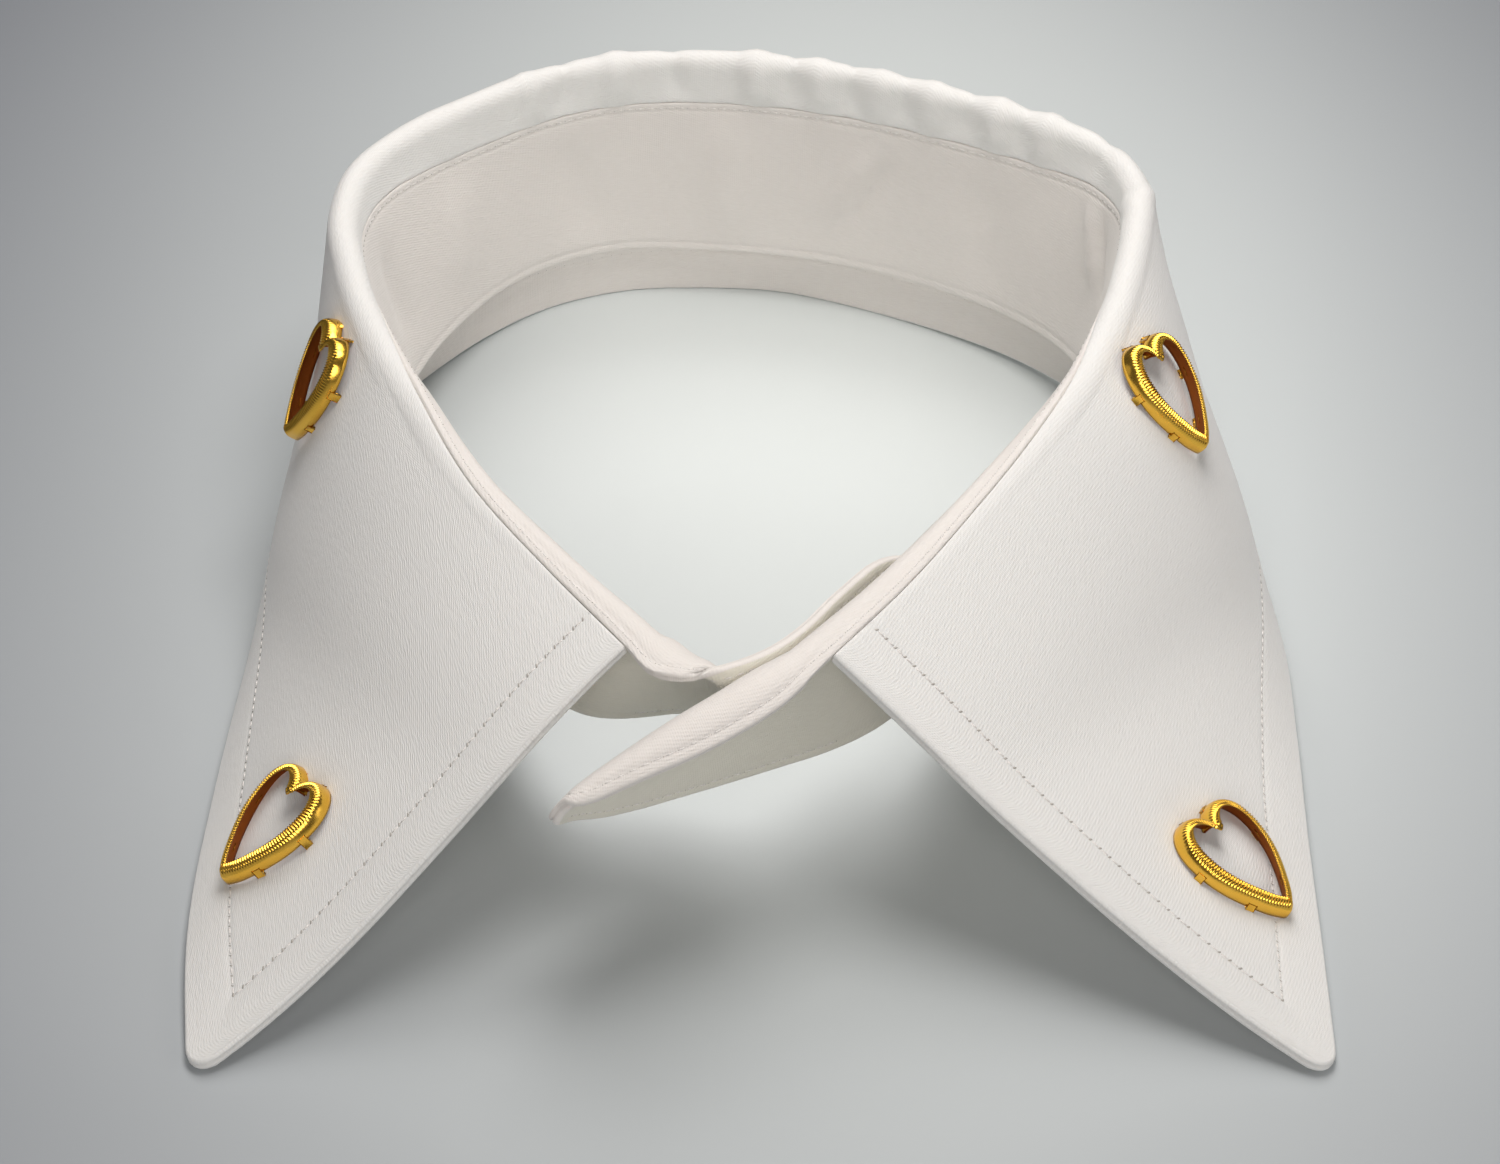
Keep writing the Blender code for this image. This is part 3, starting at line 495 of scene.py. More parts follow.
def stand_sheet():
    """Middle surface of the stand, from the end of the left tab to the end of the right, foot to seam."""
    roll, profiles = ring_profiles()
    lines = np.array(BAND_LINES)

    def spread(whole):
        near = lines * min(1.0, BAND_LINES_SHARE * whole / lines[-1])
        inside = np.linspace(near[-1], whole - near[-1], STAND_WIDE)
        return np.concatenate([near, inside[1:-1], whole - near[::-1]])

    ring = [at_length(p, spread(seam - SEAM_ROUND)) for p, seam in profiles]
    tabs = []
    for table in (LEFT_TAB, RIGHT_TAB):
        tab_roll, tab_foot, tab_edge = (columns(table, TAB_COLUMNS, n) for n in ("roll", "foot", "edge"))
        sections = []
        for r, f, e in zip(tab_roll, tab_foot, tab_edge):
            whole = tab_section(r, f, e)
            sections.append(at_length(whole, spread(lengths_along(whole)[-1])))
        tabs.append(sections)
    sections = np.array(tabs[0][::-1] + ring + tabs[1])
    places = lengths_along(sections[:, sections.shape[1] // 2])
    total = places[-1]
    ends = TAB_ROUND * (1.0 - np.cos(np.linspace(0.0, math.pi / 2, END_STEPS)))
    wanted = np.concatenate([ends[1:], np.linspace(TAB_ROUND, total - TAB_ROUND, STAND_ALONG)[1:-1],
                             total - ends[:0:-1]])
    grid = spline(sections, places, wanted)
    facing = normals(grid)
    for k, place in enumerate(wanted):
        near = min(place, total - place)
        if near < TAB_ROUND:
            keep = math.sqrt(max(0.0, 1.0 - (1.0 - near / TAB_ROUND) ** 2))
            lengths = lengths_along(grid[k])
            half = lengths[-1] / 2
            kept = half + (lengths - half) * max(keep, END_LEAST)
            facing[k] = at_length_values(grid[k], facing[k], kept)
            grid[k] = at_length(grid[k], kept)
    return grid, unit(facing)


# Relief of the cloth

def soft_folds(grid, folds):
    """How far the soft folds and dents lift each point of a sheet."""
    middle = grid[:, grid.shape[1] // 2]
    along = lengths_along(middle)
    total = along[-1]
    down = np.array([lengths_along(row) for row in grid])
    lift = np.zeros(grid.shape[:2])
    for share, place, turn, length, width, height in folds:
        a = along[:, None] - share * total
        d = down - place
        angle = math.radians(turn)
        x = a * math.cos(angle) + d * math.sin(angle)
        y = -a * math.sin(angle) + d * math.cos(angle)
        lift += height * np.exp(-(y / width) ** 2) * np.exp(-(2 * x / length) ** 4)
    return lift


def edge_distance(grid, first_edge):
    """Distance of each point of a sheet from its last edge and its two ends, and its first edge if asked."""
    down = np.array([lengths_along(row) for row in grid])
    along = np.array([lengths_along(grid[:, j]) for j in range(grid.shape[1])]).T
    near = np.minimum(down[:, -1:] - down, np.minimum(along, along[-1:] - along))
    return np.minimum(near, down) if first_edge else near


def slow_waves(along, pitch, seed):
    """An uneven row of small waves about a pitch long."""
    rng = np.random.default_rng(seed)
    total = np.zeros_like(along)
    for _ in range(WAVES):
        length = pitch * rng.uniform(*WAVE_SPREAD)
        total += np.sin(along * 2 * math.pi / length + rng.uniform(0, WAVE_START))
    return total / WAVES


def puffing(along, steady, high, pitch, seed):
    return steady + high * slow_waves(along, pitch, seed)


def shaped(grid, lift):
    return grid + normals(grid) * lift[:, :, None]


# Writing meshes

def keep_above_table(points):
    return np.maximum(points, (FAR_BELOW, FAR_BELOW, 0.0))


def write_piece(name, mesh, materials):
    data = bpy.data.meshes.new(name)
    mesh.to_mesh(data)
    mesh.free()
    data.polygons.foreach_set("use_smooth", [True] * len(data.polygons))
    for material in materials:
        data.materials.append(material)
    piece = bpy.data.objects.new(name, data)
    bpy.context.scene.collection.objects.link(piece)
    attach(piece, "root")
    return piece


def add_face(mesh, rows, cols, points, spots):
    """A grid of faces whose points are moved to the given places."""
    made = bmesh.ops.create_grid(mesh, x_segments=rows - 1, y_segments=cols - 1, size=1.0)["verts"]
    for vert in made:
        i = int(round((vert.co.x + 1.0) / 2.0 * (rows - 1)))
        j = int(round((vert.co.y + 1.0) / 2.0 * (cols - 1)))
        spots[vert] = (i, j)
    for vert in made:
        vert.co = points[spots[vert]] * MM


def rounded(place):
    return tuple(round(c * SAME_PLACE) for c in place)


def cloth_shell(name, grid, facing, outer_relief, inner_relief, seam_rows, materials):
    """Two faces of cloth on a middle surface, joined all round by a turned edge with a seam line in it.
    seam_rows: the column that meets the other piece in a seam and stays thin, and its first and last row."""
    rows, cols = grid.shape[:2]
    down = np.array([lengths_along(row) for row in grid])
    along = np.array([lengths_along(grid[:, j]) for j in range(cols)]).T
    seam_column, seam_first, seam_last = seam_rows
    near_seam = down if seam_column == 0 else down[:, -1:] - down
    near_free = down[:, -1:] - down if seam_column == 0 else down
    sewn = np.zeros(rows, bool)
    sewn[seam_first:seam_last] = True
    near = np.minimum(near_free, np.minimum(along, along[-1:] - along))
    near = np.where(sewn[:, None], near, np.minimum(near, near_seam))
    half = PLY / 2 + EDGE_SWELL / 2 * np.exp(-(near / EDGE_REACH) ** 2)
    up = keep_above_table(grid + facing * (half + outer_relief)[:, :, None]) + TO_ORIGIN
    under = keep_above_table(grid - facing * (half + inner_relief)[:, :, None]) + TO_ORIGIN
    mesh = bmesh.new()
    spots = {}
    add_face(mesh, rows, cols, up, spots)
    outer_faces = set(mesh.faces)
    add_face(mesh, rows, cols, under, spots)
    for face in mesh.faces:
        # The inner face takes the last finish, a cotton tinted for painted warm shade.
        face.material_index = 0 if face in outer_faces else len(materials) - 1
    rim = [e for e in mesh.edges if e.is_boundary and e.link_faces[0] in outer_faces]
    loop = ([(0, j) for j in range(cols)] + [(i, cols - 1) for i in range(1, rows)]
            + [(rows - 1, j) for j in range(cols - 2, -1, -1)] + [(i, 0) for i in range(rows - 2, 0, -1)])
    outline = np.array([grid[at] for at in loop])
    ahead = unit(np.roll(outline, -1, axis=0) - np.roll(outline, 1, axis=0))
    sideways = unit(np.cross(ahead, np.array([facing[at] for at in loop])))
    half_way = cols // 2
    if np.dot(sideways[half_way], grid[0, half_way] - grid[4, half_way]) < 0:
        sideways = -sideways
    away = dict(zip(loop, sideways))
    swelling = {(i, j): SEAM_ROUND if sewn[i] and j == seam_column else EDGE_ROUND for i, j in loop}
    for turn in EDGE_TURNS + (LAST_TURN,):
        place_of = {rounded(v.co): spots[v] for e in rim for v in e.verts}
        grown = bmesh.ops.extrude_edge_only(mesh, edges=rim)["geom"]
        rim = [g for g in grown if isinstance(g, bmesh.types.BMEdge)]
        angle = math.radians(turn)
        for vert in [g for g in grown if isinstance(g, bmesh.types.BMVert)]:
            spots[vert] = place_of[rounded(vert.co)]
            i, j = spots[vert]
            if turn == LAST_TURN:
                vert.co = under[i, j] * MM
                continue
            notch = EDGE_NOTCH if turn == EDGE_LINE and swelling[(i, j)] == EDGE_ROUND else 0.0
            point = (grid[i, j] + facing[i, j] * half[i, j] * math.sin(angle)
                     + away[(i, j)] * (swelling[(i, j)] * math.cos(angle) - notch))
            vert.co = (keep_above_table(point) + TO_ORIGIN) * MM
    middle = lengths_along(grid[:, cols // 2])
    layer = mesh.loops.layers.uv.new("weave")
    for face in mesh.faces:
        for corner in face.loops:
            i, j = spots[corner.vert]
            corner[layer].uv = (middle[i] / MAP_UNIT, (down[i, -1] - down[i, j]) / MAP_UNIT)
    bmesh.ops.remove_doubles(mesh, verts=mesh.verts, dist=MERGE)
    bmesh.ops.recalc_face_normals(mesh, faces=mesh.faces)
    return write_piece(name, mesh, materials), up - TO_ORIGIN, under - TO_ORIGIN


def stitch_row(mesh, points, facing, rise, hole):
    """Stitches along a line of points: short rounded lengths of thread in the cloth, and the needle holes
    between them as slanting ticks of painted shade."""
    total = lengths_along(points)[-1]
    count = int(total / STITCH_PITCH)
    places = (np.arange(count) + 0.5) * total / count
    holes = np.arange(count + 1) * total / count
    thread_size = (STITCH_LONG / 2, THREAD / 2, THREAD / 2)
    hole_size = (HOLE_LONG / 2 * hole, HOLE_WIDE / 2 * hole, HOLE_TALL / 2)
    for at, size, slant, index in ((places, thread_size, 0.0, 0), (holes, hole_size, HOLE_SLANT, 1)):
        centre = at_length(points, at)
        behind = at_length(points, np.maximum(at - STITCH_LOOK, 0.0))
        ahead = unit(at_length(points, np.minimum(at + STITCH_LOOK, total)) - behind)
        up = unit(at_length_values(points, facing, at))
        for c, a, u in zip(centre, ahead, up):
            u = unit(u - a * np.dot(u, a))
            s = np.cross(u, a)
            a, s = a * math.cos(slant) + s * math.sin(slant), s * math.cos(slant) - a * math.sin(slant)
            c = (c + u * (rise if index == 0 else 0.0) + TO_ORIGIN) * MM
            rows = [[a[k] * size[0] * MM, s[k] * size[1] * MM, u[k] * size[2] * MM, c[k]] for k in range(3)]
            place = Matrix(rows + [[0.0, 0.0, 0.0, 1.0]])
            made = bmesh.ops.create_icosphere(mesh, subdivisions=1, radius=1.0, matrix=place)["verts"]
            if index:
                for face in {f for v in made for f in v.link_faces}:
                    face.material_index = 1


def at_length_values(points, values, wanted):
    places = lengths_along(points)
    return np.stack([np.interp(wanted, places, values[:, k]) for k in range(3)], axis=1)


# Finishes

def new_material(name):
    material = bpy.data.materials.new(name)
    material.use_nodes = True
    tree = material.node_tree
    return material, tree, tree.nodes["Principled BSDF"]


def link(tree, a, out, b, into):
    tree.links.new(a.outputs[out], b.inputs[into])


def math_node(tree, kind, first, second=None):
    node = tree.nodes.new("ShaderNodeMath")
    node.operation = kind
    for k, value in enumerate((first, second)):
        if value is None:
            continue
        if isinstance(value, (int, float)):
            node.inputs[k].default_value = value
        else:
            tree.links.new(value, node.inputs[k])
    return node.outputs[0]


def noise(tree, source, output, scale, detail=2.0):
    node = tree.nodes.new("ShaderNodeTexNoise")
    node.inputs["Scale"].default_value = scale
    node.inputs["Detail"].default_value = detail
    link(tree, source, output, node, "Vector")
    return node.outputs["Fac"]


def relief(tree, shader, height, strength, depth):
    """A fine relief of the finish, depth in metres."""
    bump = tree.nodes.new("ShaderNodeBump")
    bump.inputs["Strength"].default_value = strength
    bump.inputs["Distance"].default_value = depth
    tree.links.new(height, bump.inputs["Height"])
    link(tree, bump, "Normal", shader, "Normal")


def colour_between(tree, shader, factor, first, second):
    mix = tree.nodes.new("ShaderNodeMix")
    mix.data_type = "RGBA"
    tree.links.new(factor, mix.inputs["Factor"])
    mix.inputs["A"].default_value = first
    mix.inputs["B"].default_value = second
    tree.links.new(mix.outputs["Result"], shader.inputs["Base Color"])


def cotton(name, light, shade, rough):
    """Fine white twill: diagonal ribs, threads across them, slubs, and a faint unevenness of colour."""
    material, tree, shader = new_material(name)
    uv = tree.nodes.new("ShaderNodeUVMap")
    uv.uv_map = "weave"
    parts = tree.nodes.new("ShaderNodeSeparateXYZ")
    link(tree, uv, "UV", parts, "Vector")
    u, v = parts.outputs["X"], parts.outputs["Y"]
    rib_scale = MAP_UNIT / TWILL_PITCH * 2 * math.pi
    wander = math_node(tree, "MULTIPLY", noise(tree, uv, "UV", scale=26.0), RIB_WANDER)
    across = math_node(tree, "ADD", math_node(tree, "MULTIPLY", u, -TWILL_ALONG * rib_scale),
                       math_node(tree, "MULTIPLY", v, TWILL_DOWN * rib_scale))
    rib = math_node(tree, "SINE", math_node(tree, "ADD", across, wander))
    crossing = math_node(tree, "MULTIPLY", u, MAP_UNIT / THREAD_PITCH * 2 * math.pi)
    thread = math_node(tree, "SINE", crossing)
    weave = math_node(tree, "ADD", math_node(tree, "MULTIPLY", rib, RIB_HIGH),
                      math_node(tree, "MULTIPLY", thread, CROSS_HIGH))
    stretch = tree.nodes.new("ShaderNodeMapping")
    stretch.inputs["Rotation"].default_value = (0.0, 0.0, SLUB_TURN)
    stretch.inputs["Scale"].default_value = SLUB_STRETCH
    link(tree, uv, "UV", stretch, "Vector")
    slub = noise(tree, stretch, "Vector", scale=160.0, detail=3.0)
    height = math_node(tree, "ADD", weave, math_node(tree, "MULTIPLY", slub, SLUB_HIGH))
    relief(tree, shader, height, strength=0.6, depth=0.00012)
    tint = math_node(tree, "ADD", math_node(tree, "MULTIPLY", rib, RIB_TINT), slub)
    colour_between(tree, shader, tint, shade, light)
    roughness = math_node(tree, "ADD", math_node(tree, "MULTIPLY", slub, 0.16), rough)
    tree.links.new(roughness, shader.inputs["Roughness"])
    shader.inputs["Sheen Weight"].default_value = 0.25
    shader.inputs["Sheen Roughness"].default_value = 0.45
    shader.inputs["Specular IOR Level"].default_value = 0.3
    shader.inputs["Subsurface Weight"].default_value = 0.12
    shader.inputs["Subsurface Radius"].default_value = (1.0, 0.9, 0.8)
    shader.inputs["Subsurface Scale"].default_value = 0.0012
    return material


def sewing_thread():
    material, tree, shader = new_material("white_sewing_thread")
    where = tree.nodes.new("ShaderNodeTexCoord")
    twist = tree.nodes.new("ShaderNodeTexWave")
    twist.bands_direction = "DIAGONAL"
    twist.inputs["Scale"].default_value = 900.0
    link(tree, where, "Object", twist, "Vector")
    relief(tree, shader, twist.outputs["Fac"], strength=0.3, depth=0.00005)
    colour_between(tree, shader, twist.outputs["Fac"], THREAD_DARK, THREAD_PALE)
    shader.inputs["Roughness"].default_value = 0.5
    shader.inputs["Sheen Weight"].default_value = 0.2
    return material


# Needle holes: dark ticks of painted shade where the needle pierced the cloth.
def needle_hole():
    material, tree, shader = new_material("needle_hole_painted_shade")
    where = tree.nodes.new("ShaderNodeTexCoord")
    colour_between(tree, shader, noise(tree, where, "Object", scale=900.0), HOLE_SHADE_DARK, HOLE_SHADE_PALE)
    shader.inputs["Roughness"].default_value = 0.9
    return material


def gilding(name, pale, rough):
    """Gold plating, with faint polishing marks and a little tarnish."""
    material, tree, shader = new_material(name)
    where = tree.nodes.new("ShaderNodeTexCoord")
    patches = noise(tree, where, "Object", scale=420.0, detail=3.0)
    tarnished = tuple(c * t for c, t in zip(pale, TARNISH)) + (1.0,)
    colour_between(tree, shader, patches, tarnished, pale + (1.0,))
    shader.inputs["Metallic"].default_value = 1.0
    roughness = math_node(tree, "ADD", math_node(tree, "MULTIPLY", patches, 0.14), rough)
    tree.links.new(roughness, shader.inputs["Roughness"])
    relief(tree, shader, noise(tree, where, "Object", scale=2600.0), strength=0.12, depth=0.00006)
    return material


# Hearts

def heart_line(steps):
    """A heart with its point down, from its notch round, at even steps."""
    size = np.array([(HEART_WIDE - RIM_WIDE) / 2, RIM_WIDE - HEART_LONG])
    corners = np.array([(across * size[0], (down - 0.5) * size[1], 0.0) for across, down in HEART_HALF])
    places = lengths_along(corners)
    half = spline(corners, places, np.linspace(0.0, places[-1], HEART_FINE))
    line = np.concatenate([half, half[::-1][1:] * (-1.0, 1.0, 1.0)])
    return at_length(line, np.linspace(0.0, lengths_along(line)[-1], steps + 1)[:-1])


def spot_on(surface, along, down):
    """Point, outer normal and downhill direction of the fall at a share along it and a share down it."""
    facing = normals(surface)
    rail = lengths_along(surface[:, 0])
    row = np.interp(along * rail[-1], rail, np.arange(len(rail)))
    before = min(int(row), len(surface) - 2)
    part = row - before
    line = surface[before] * (1 - part) + surface[before + 1] * part
    line_facing = facing[before] * (1 - part) + facing[before + 1] * part
    places = lengths_along(line)
    centre = at_length(line, [down * places[-1]])[0]
    at_column = np.interp(down * places[-1], places, np.arange(len(line)))
    below = int(at_column)
    share = at_column - below
    up = unit(line_facing[below] * (1 - share) + line_facing[below + 1] * share)
    downhill = line[below + 1] - line[below]
    return centre, up, unit(downhill - up * np.dot(downhill, up))


def drop_to(point, up, skin, skin_facing):
    """How far below a point, against up, the cloth's outer face lies."""
    fall = 0.0
    for _ in range(DROP_TRIES):
        here = point - up * fall
        nearest = np.linalg.norm(skin - here, axis=1).argmin()
        fall += np.dot(here - skin[nearest], skin_facing[nearest]) / np.dot(up, skin_facing[nearest])
    return fall


def rim_section():
    """Outline of the pressed rim: out from its middle, up from its base, and how strongly it is milled."""
    turns = np.radians(np.linspace(0.0, 90.0, RIM_TURN_STEPS))
    across = np.cos(turns) ** RIM_SQUARE_ACROSS
    rise = np.sin(turns) ** RIM_SQUARE_UP
    reach = RIM_WIDE / 2 + RIM_LIP
    worked = [max(0.0, r - MILLING_FROM) * MILLING_GAIN for r in rise]
    outer = [(reach * a - RIM_LIP, RIM_TALL * r - RIM_DROP * (1 - r), w)
             for a, r, w in zip(across, rise, worked)]
    lip = [(-RIM_LIP - into, RIM_TALL - below, milled) for into, below, milled in RIM_CURL]
    inner = [((reach - RIM_THICK) * a - RIM_LIP, (RIM_TALL - RIM_THICK) * r - RIM_DROP * (1 - r), 0.0)
             for a, r in zip(across[::-1], rise[::-1])]
    return outer + lip + inner


def open_heart(node, along, down, turn, surface, skin, materials):
    """One setting: a pressed rim with a milled lip that follows a heart, and claws round its base."""
    centre, up, downhill = spot_on(surface, along, down)
    front = np.cross(up, downhill) * (1.0 if along < 0.5 else -1.0)
    angle = math.radians(turn)
    point_way = unit(downhill * math.cos(angle) + front * math.sin(angle))
    side_way = unit(np.cross(point_way, up))
    outline = heart_line(RIM_STEPS)
    line = centre + up * (PLY / 2 + RIM_CLEAR) + outline[:, :1] * side_way - outline[:, 1:2] * point_way
    ahead = unit(np.roll(line, -RIM_LOOK, axis=0) - np.roll(line, RIM_LOOK, axis=0))
    out = unit(np.cross(ahead, up))
    if np.dot(out[RIM_STEPS // 4], line[RIM_STEPS // 4] - centre) < 0:
        out = -out
    section = rim_section()
    count = len(section)
    mesh = bmesh.new()
    made = bmesh.ops.create_grid(mesh, x_segments=RIM_STEPS, y_segments=count, size=1.0)["verts"]
    for face in mesh.faces:
        across = (face.calc_center_median().y + 1.0) / 2.0 * count
        # The inner half of the rim takes the darker gold: painted shade and dark reflections.
        face.material_index = 1 if across > count - len(section) // 2 else 0
    for vert in made:
        k = int(round((vert.co.x + 1.0) / 2.0 * RIM_STEPS)) % RIM_STEPS
        wide, high, worked = section[int(round((vert.co.y + 1.0) / 2.0 * count)) % count]
        cut = 0.5 + 0.5 * math.cos(2 * math.pi * MILLING * k / RIM_STEPS)
        high -= MILLING_DEEP * cut * min(1.0, worked)
        wide -= MILLING_DEEP * MILLING_IN * cut * min(1.0, worked)
        vert.co = (line[k] + out[k] * wide + up * high + TO_ORIGIN) * MM
    bmesh.ops.remove_doubles(mesh, verts=mesh.verts, dist=HEART_MERGE)
    for place in CLAW_PLACES:
        k = int(round(place * RIM_STEPS)) % RIM_STEPS
        lower = drop_to(line[k] + out[k] * RIM_WIDE / 2, up, *skin) + CLAW_SINK
        block = bmesh.ops.create_cube(mesh, size=1.0)["verts"]
        edges = list({e for v in block for e in v.link_edges})
        bottom = line[k] + out[k] * (RIM_WIDE / 2 + CLAW_OUT - CLAW_THICK / 2) - up * lower
        top = line[k] + out[k] * (RIM_WIDE / 2 - CLAW_THICK * CLAW_LEAN) + up * CLAW_TOP
        for vert in block:
            x, y, z = vert.co
            end = top if z > 0 else bottom
            vert.co = (end + ahead[k] * x * CLAW_WIDE + out[k] * y * CLAW_THICK + TO_ORIGIN) * MM
        bmesh.ops.bevel(mesh, geom=edges, offset=CLAW_BEVEL * MM, segments=2, profile=0.5, material=-1,
                        affect="EDGES")
    bmesh.ops.recalc_face_normals(mesh, faces=mesh.faces)
    piece = write_piece(node + "_rim", mesh, materials)
    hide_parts(node)


# The collar

def row_line(points, facing, rows, from_end):
    """Points and facing at a distance in from the last edge of each row."""
    line = []
    out = []
    for i, distance in zip(rows, from_end):
        places = lengths_along(points[i])
        at = places[-1] - distance
        line.append(at_length(points[i], [at])[0])
        out.append([np.interp(at, places, facing[i, :, k]) for k in range(3)])
    return np.array(line), np.array(out)


def make_fall(cotton_outside, cotton_under_warm_shade, thread, hole):
    fall = fall_sheet()
    fall = shaped(fall, soft_folds(fall, FALL_FOLDS))
    near = edge_distance(fall, False)
    along = lengths_along(fall[:, fall.shape[1] // 2])[:, None]
    ditch = np.exp(-((near - HEM_STITCH) / DITCH_WIDE) ** 2)
    between = np.exp(-((near - HEM_STITCH / 2) / PUFF_WIDE) ** 2)
    outer = -DITCH_DEEP * ditch + between * puffing(along, *PUFF_OUTSIDE)
    down = np.array([lengths_along(row) for row in fall])
    back = np.exp(-((down[:, -1:] - down - PUFF_HEM_IN) / PUFF_HEM_WIDE) ** 2)
    inner = -DITCH_DEEP * ditch + between * puffing(along, *PUFF_UNDER) + back * puffing(along, *PUFF_HEM)
    facing = normals(fall)
    cloth, up, under = cloth_shell("fall_cloth", fall, facing, outer, inner, (0, 0, len(fall)),
                                   (cotton_outside, cotton_under_warm_shade))
    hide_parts("fall")
    i0 = EDGE_LINES.index(HEM_STITCH)
    j1 = fall.shape[1] - 1 - i0
    i1 = fall.shape[0] - 1 - i0
    left = [(i0, j) for j in range(FALL_UNSEWN, j1 + 1)]
    hem = [(i, j1) for i in range(i0, i1 + 1)]
    right = [(i1, j) for j in range(j1, FALL_UNSEWN - 1, -1)]
    tracks = ((left, 1.0), (hem, SIDE_HOLES), (right, 1.0))
    mesh = bmesh.new()
    for face_points, way, rise, hole_size in ((up, 1.0, STITCH_RISE, 1.0),
                                              (under, -1.0, STITCH_RISE_UNDER, UNDER_HOLES)):
        for track, share in tracks:
            points = np.array([face_points[s] for s in track])
            out = np.array([facing[s] for s in track]) * way
            stitch_row(mesh, points, out, rise, hole_size * share)
    stitches = write_piece("fall_topstitch", mesh, (thread, hole))
    return fall, up


def make_stand(cotton_inside_warm_shade, cotton_under_warm_shade, thread, hole):
    stand, end_facing = stand_sheet()
    stand = shaped(stand, soft_folds(stand, STAND_FOLDS))
    along = lengths_along(stand[:, stand.shape[1] // 2])
    total = along[-1]
    inside = np.clip(np.minimum(along, total - along) / TAB_ROUND * 2.0 - 1.0, 0.0, 1.0)[:, None, None]
    facing = unit(normals(stand) * inside + end_facing * (1.0 - inside))
    near = edge_distance(stand, True)
    puffed = np.exp(-((near - PUFF_BAND_IN) / PUFF_BAND_WIDE) ** 2) * puffing(along[:, None], *PUFF_BAND)
    lift = puffed - BAND_DITCH * np.exp(-((near - TAB_STITCH) / BAND_DITCH_WIDE) ** 2)
    left_end = int(np.searchsorted(along, LEFT_TAB_LONG))
    right_end = int(np.searchsorted(along, total - RIGHT_TAB_LONG))
    # Both faces of the stand take cottons tinted for painted warm shade.
    band, up, under = cloth_shell("stand_cloth", stand, facing, lift, lift,
                                  (stand.shape[1] - 1, left_end, right_end), (cotton_inside_warm_shade, cotton_under_warm_shade))
    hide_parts("stand")
    rows = list(range(BAND_UNSEWN[0], len(stand) - BAND_UNSEWN[1]))
    past_tabs = np.minimum(along[rows] - LEFT_TAB_LONG, total - RIGHT_TAB_LONG - along[rows])
    in_ring = np.clip(past_tabs / SEWN_EASE, 0.0, 1.0)
    distance = TAB_STITCH + (SEAM_STITCH - TAB_STITCH) * in_ring
    foot_tabs = [[i for i in rows if along[i] < LEFT_TAB_LONG + FOOT_SEWN],
                 [i for i in rows if along[i] > total - RIGHT_TAB_LONG - FOOT_SEWN]]
    mesh = bmesh.new()
    for face_points, way in ((up, 1.0), (under, -1.0)):
        points, out = row_line(face_points, facing, rows, distance)
        stitch_row(mesh, points, out * way, STITCH_RISE_BAND, BAND_HOLES)
        for tab in foot_tabs:
            inward = np.full(len(tab), TAB_STITCH)
            points, out = row_line(face_points[:, ::-1], facing[:, ::-1], tab, inward)
            stitch_row(mesh, points, out * way, STITCH_RISE_BAND, BAND_HOLES)
    stitches = write_piece("stand_topstitch", mesh, (thread, hole))


def dress():
    fall_cotton = cotton(*FALL_COTTON)
    under_cotton_warm_shade = cotton(*UNDER_COTTON_WARM_SHADE)
    band_cotton_warm_shade = cotton(*BAND_COTTON_WARM_SHADE)
    thread = sewing_thread()
    hole = needle_hole()
    gold_and_painted_shade = (gilding(*GOLD_OUTSIDE), gilding(*GOLD_INSIDE_PAINTED_SHADE))
    fall, fall_up = make_fall(fall_cotton, under_cotton_warm_shade, thread, hole)
    make_stand(under_cotton_warm_shade, band_cotton_warm_shade, thread, hole)
    skin = (fall_up.reshape(-1, 3), normals(fall).reshape(-1, 3))
    for node, share, drop, turn in HEARTS:
        open_heart(node, share, drop, turn, fall, skin, gold_and_painted_shade)


# Table, light and camera

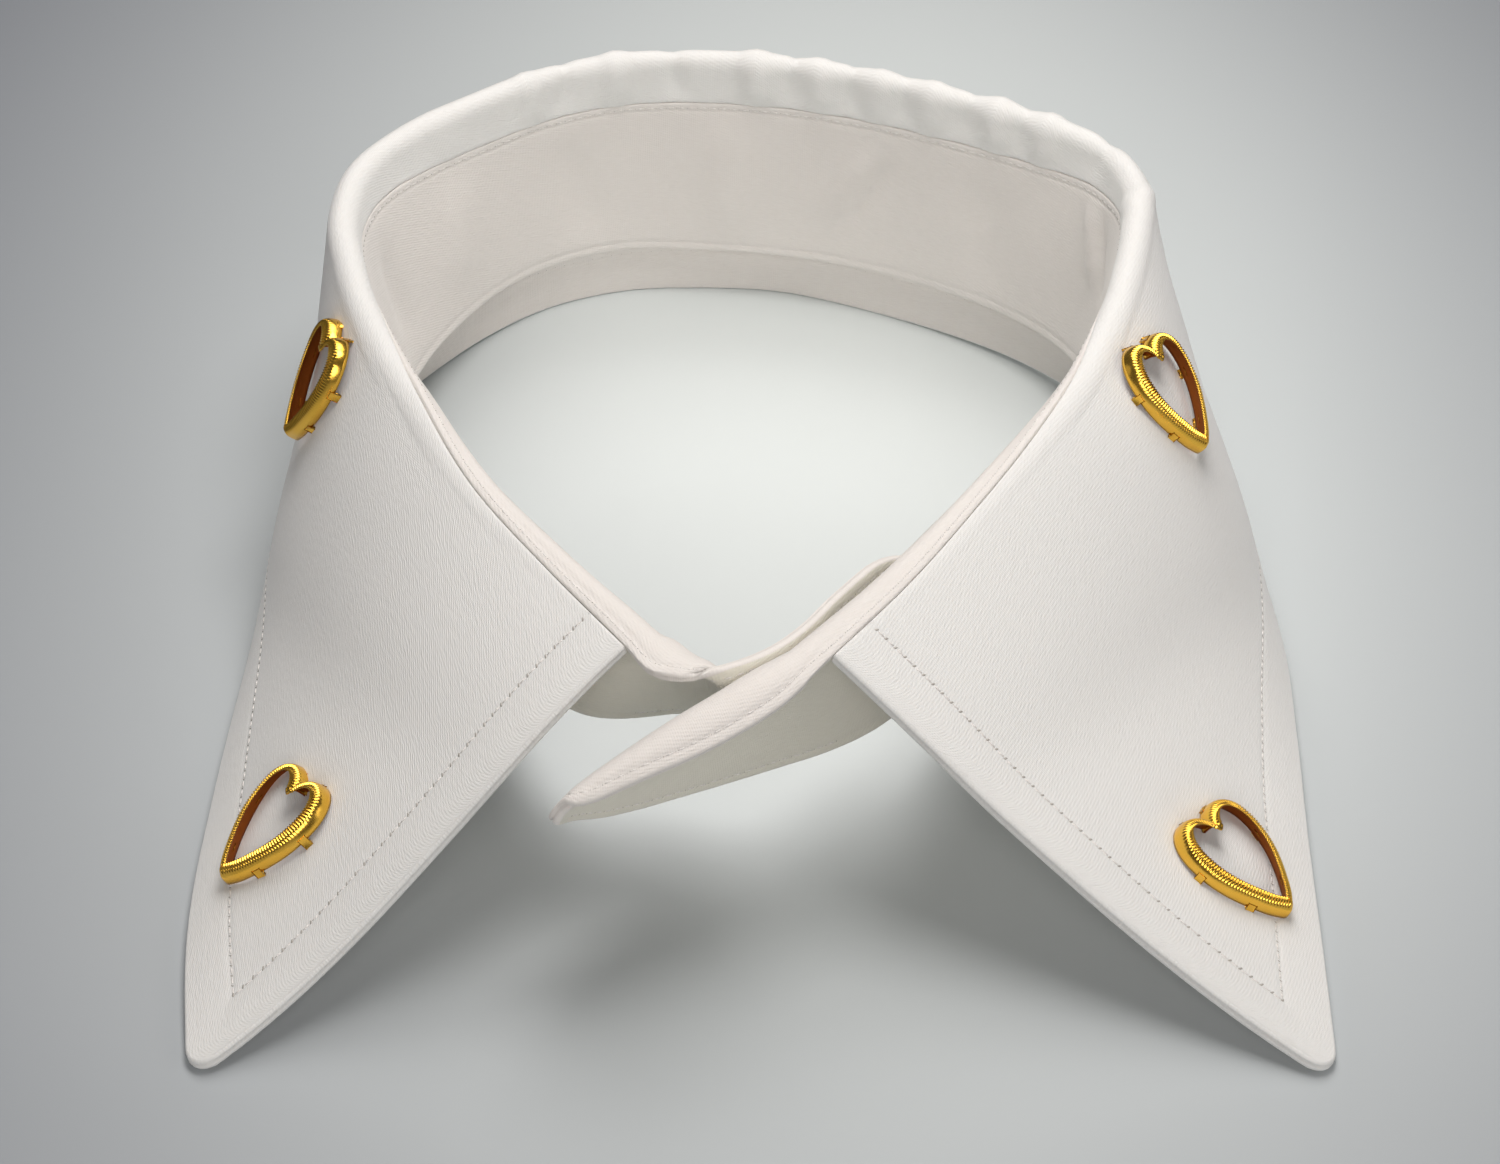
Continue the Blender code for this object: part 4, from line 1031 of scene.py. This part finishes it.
def table_top():
    mesh = bmesh.new()
    bmesh.ops.create_grid(mesh, x_segments=1, y_segments=1, size=TABLE_HALF)
    bmesh.ops.translate(mesh, verts=mesh.verts, vec=(0.0, 0.0, TABLE_DOWN))
    data = bpy.data.meshes.new("table")
    mesh.to_mesh(data)
    mesh.free()
    table = bpy.data.objects.new("table", data)
    bpy.context.scene.collection.objects.link(table)
    material, tree, shader = new_material("pale_table_painted_light")
    where = tree.nodes.new("ShaderNodeTexCoord")
    shift = tree.nodes.new("ShaderNodeMapping")
    shift.inputs["Location"].default_value = TABLE_LIGHT_CENTRE
    shift.inputs["Scale"].default_value = TABLE_LIGHT_FALLING
    link(tree, where, "Object", shift, "Vector")
    far = tree.nodes.new("ShaderNodeVectorMath")
    far.operation = "DOT_PRODUCT"
    link(tree, shift, "Vector", far, 0)
    link(tree, shift, "Vector", far, 1)
    # Painted light: the colour fades from pale to dark away from the palest place, no lower than the least
    # share.
    pale = math_node(tree, "DIVIDE", 1.0, math_node(tree, "ADD", far.outputs["Value"], 1.0))
    colour_between(tree, shader, math_node(tree, "MAXIMUM", pale, TABLE_LEAST_LIGHT), TABLE_SHADE_DARK, TABLE_PALE_LIT)
    grain = noise(tree, where, "Object", scale=380.0, detail=3.0)
    relief(tree, shader, grain, strength=0.10, depth=0.0002)
    shader.inputs["Roughness"].default_value = 0.7
    shader.inputs["Specular IOR Level"].default_value = 0.2
    data.materials.append(material)


def soft_light(name, place, aim, size, power):
    data = bpy.data.lights.new(name, "AREA")
    data.shape = "DISK"
    data.size = size
    data.energy = power
    data.color = WARM
    lamp = bpy.data.objects.new(name, data)
    lamp.location = place
    lamp.rotation_euler = (Vector(aim) - Vector(place)).to_track_quat("-Z", "Y").to_euler()
    bpy.context.scene.collection.objects.link(lamp)


def camera():
    data = bpy.data.cameras.new("camera")
    data.sensor_width = SENSOR_WIDE
    data.sensor_fit = "HORIZONTAL"
    data.lens = PHOTO_FOCAL / PHOTO_WIDE * SENSOR_WIDE
    data.clip_start = CAMERA_NEAREST
    view = bpy.data.objects.new("camera", data)
    view.location = (TO_ORIGIN + CAMERA_PLACE) * MM
    view.rotation_euler = (CAMERA_TILT, 0.0, 0.0)
    bpy.context.scene.collection.objects.link(view)
    bpy.context.scene.camera = view


def room():
    world = bpy.data.worlds.new("room")
    world.use_nodes = True
    background = world.node_tree.nodes["Background"]
    background.inputs["Color"].default_value = ROOM_COLOUR
    background.inputs["Strength"].default_value = ROOM_LIGHT
    bpy.context.scene.world = world
    bpy.context.scene.view_settings.view_transform = "Standard"


dress()
table_top()
for light in LIGHTS:
    soft_light(*light)
room()
camera()
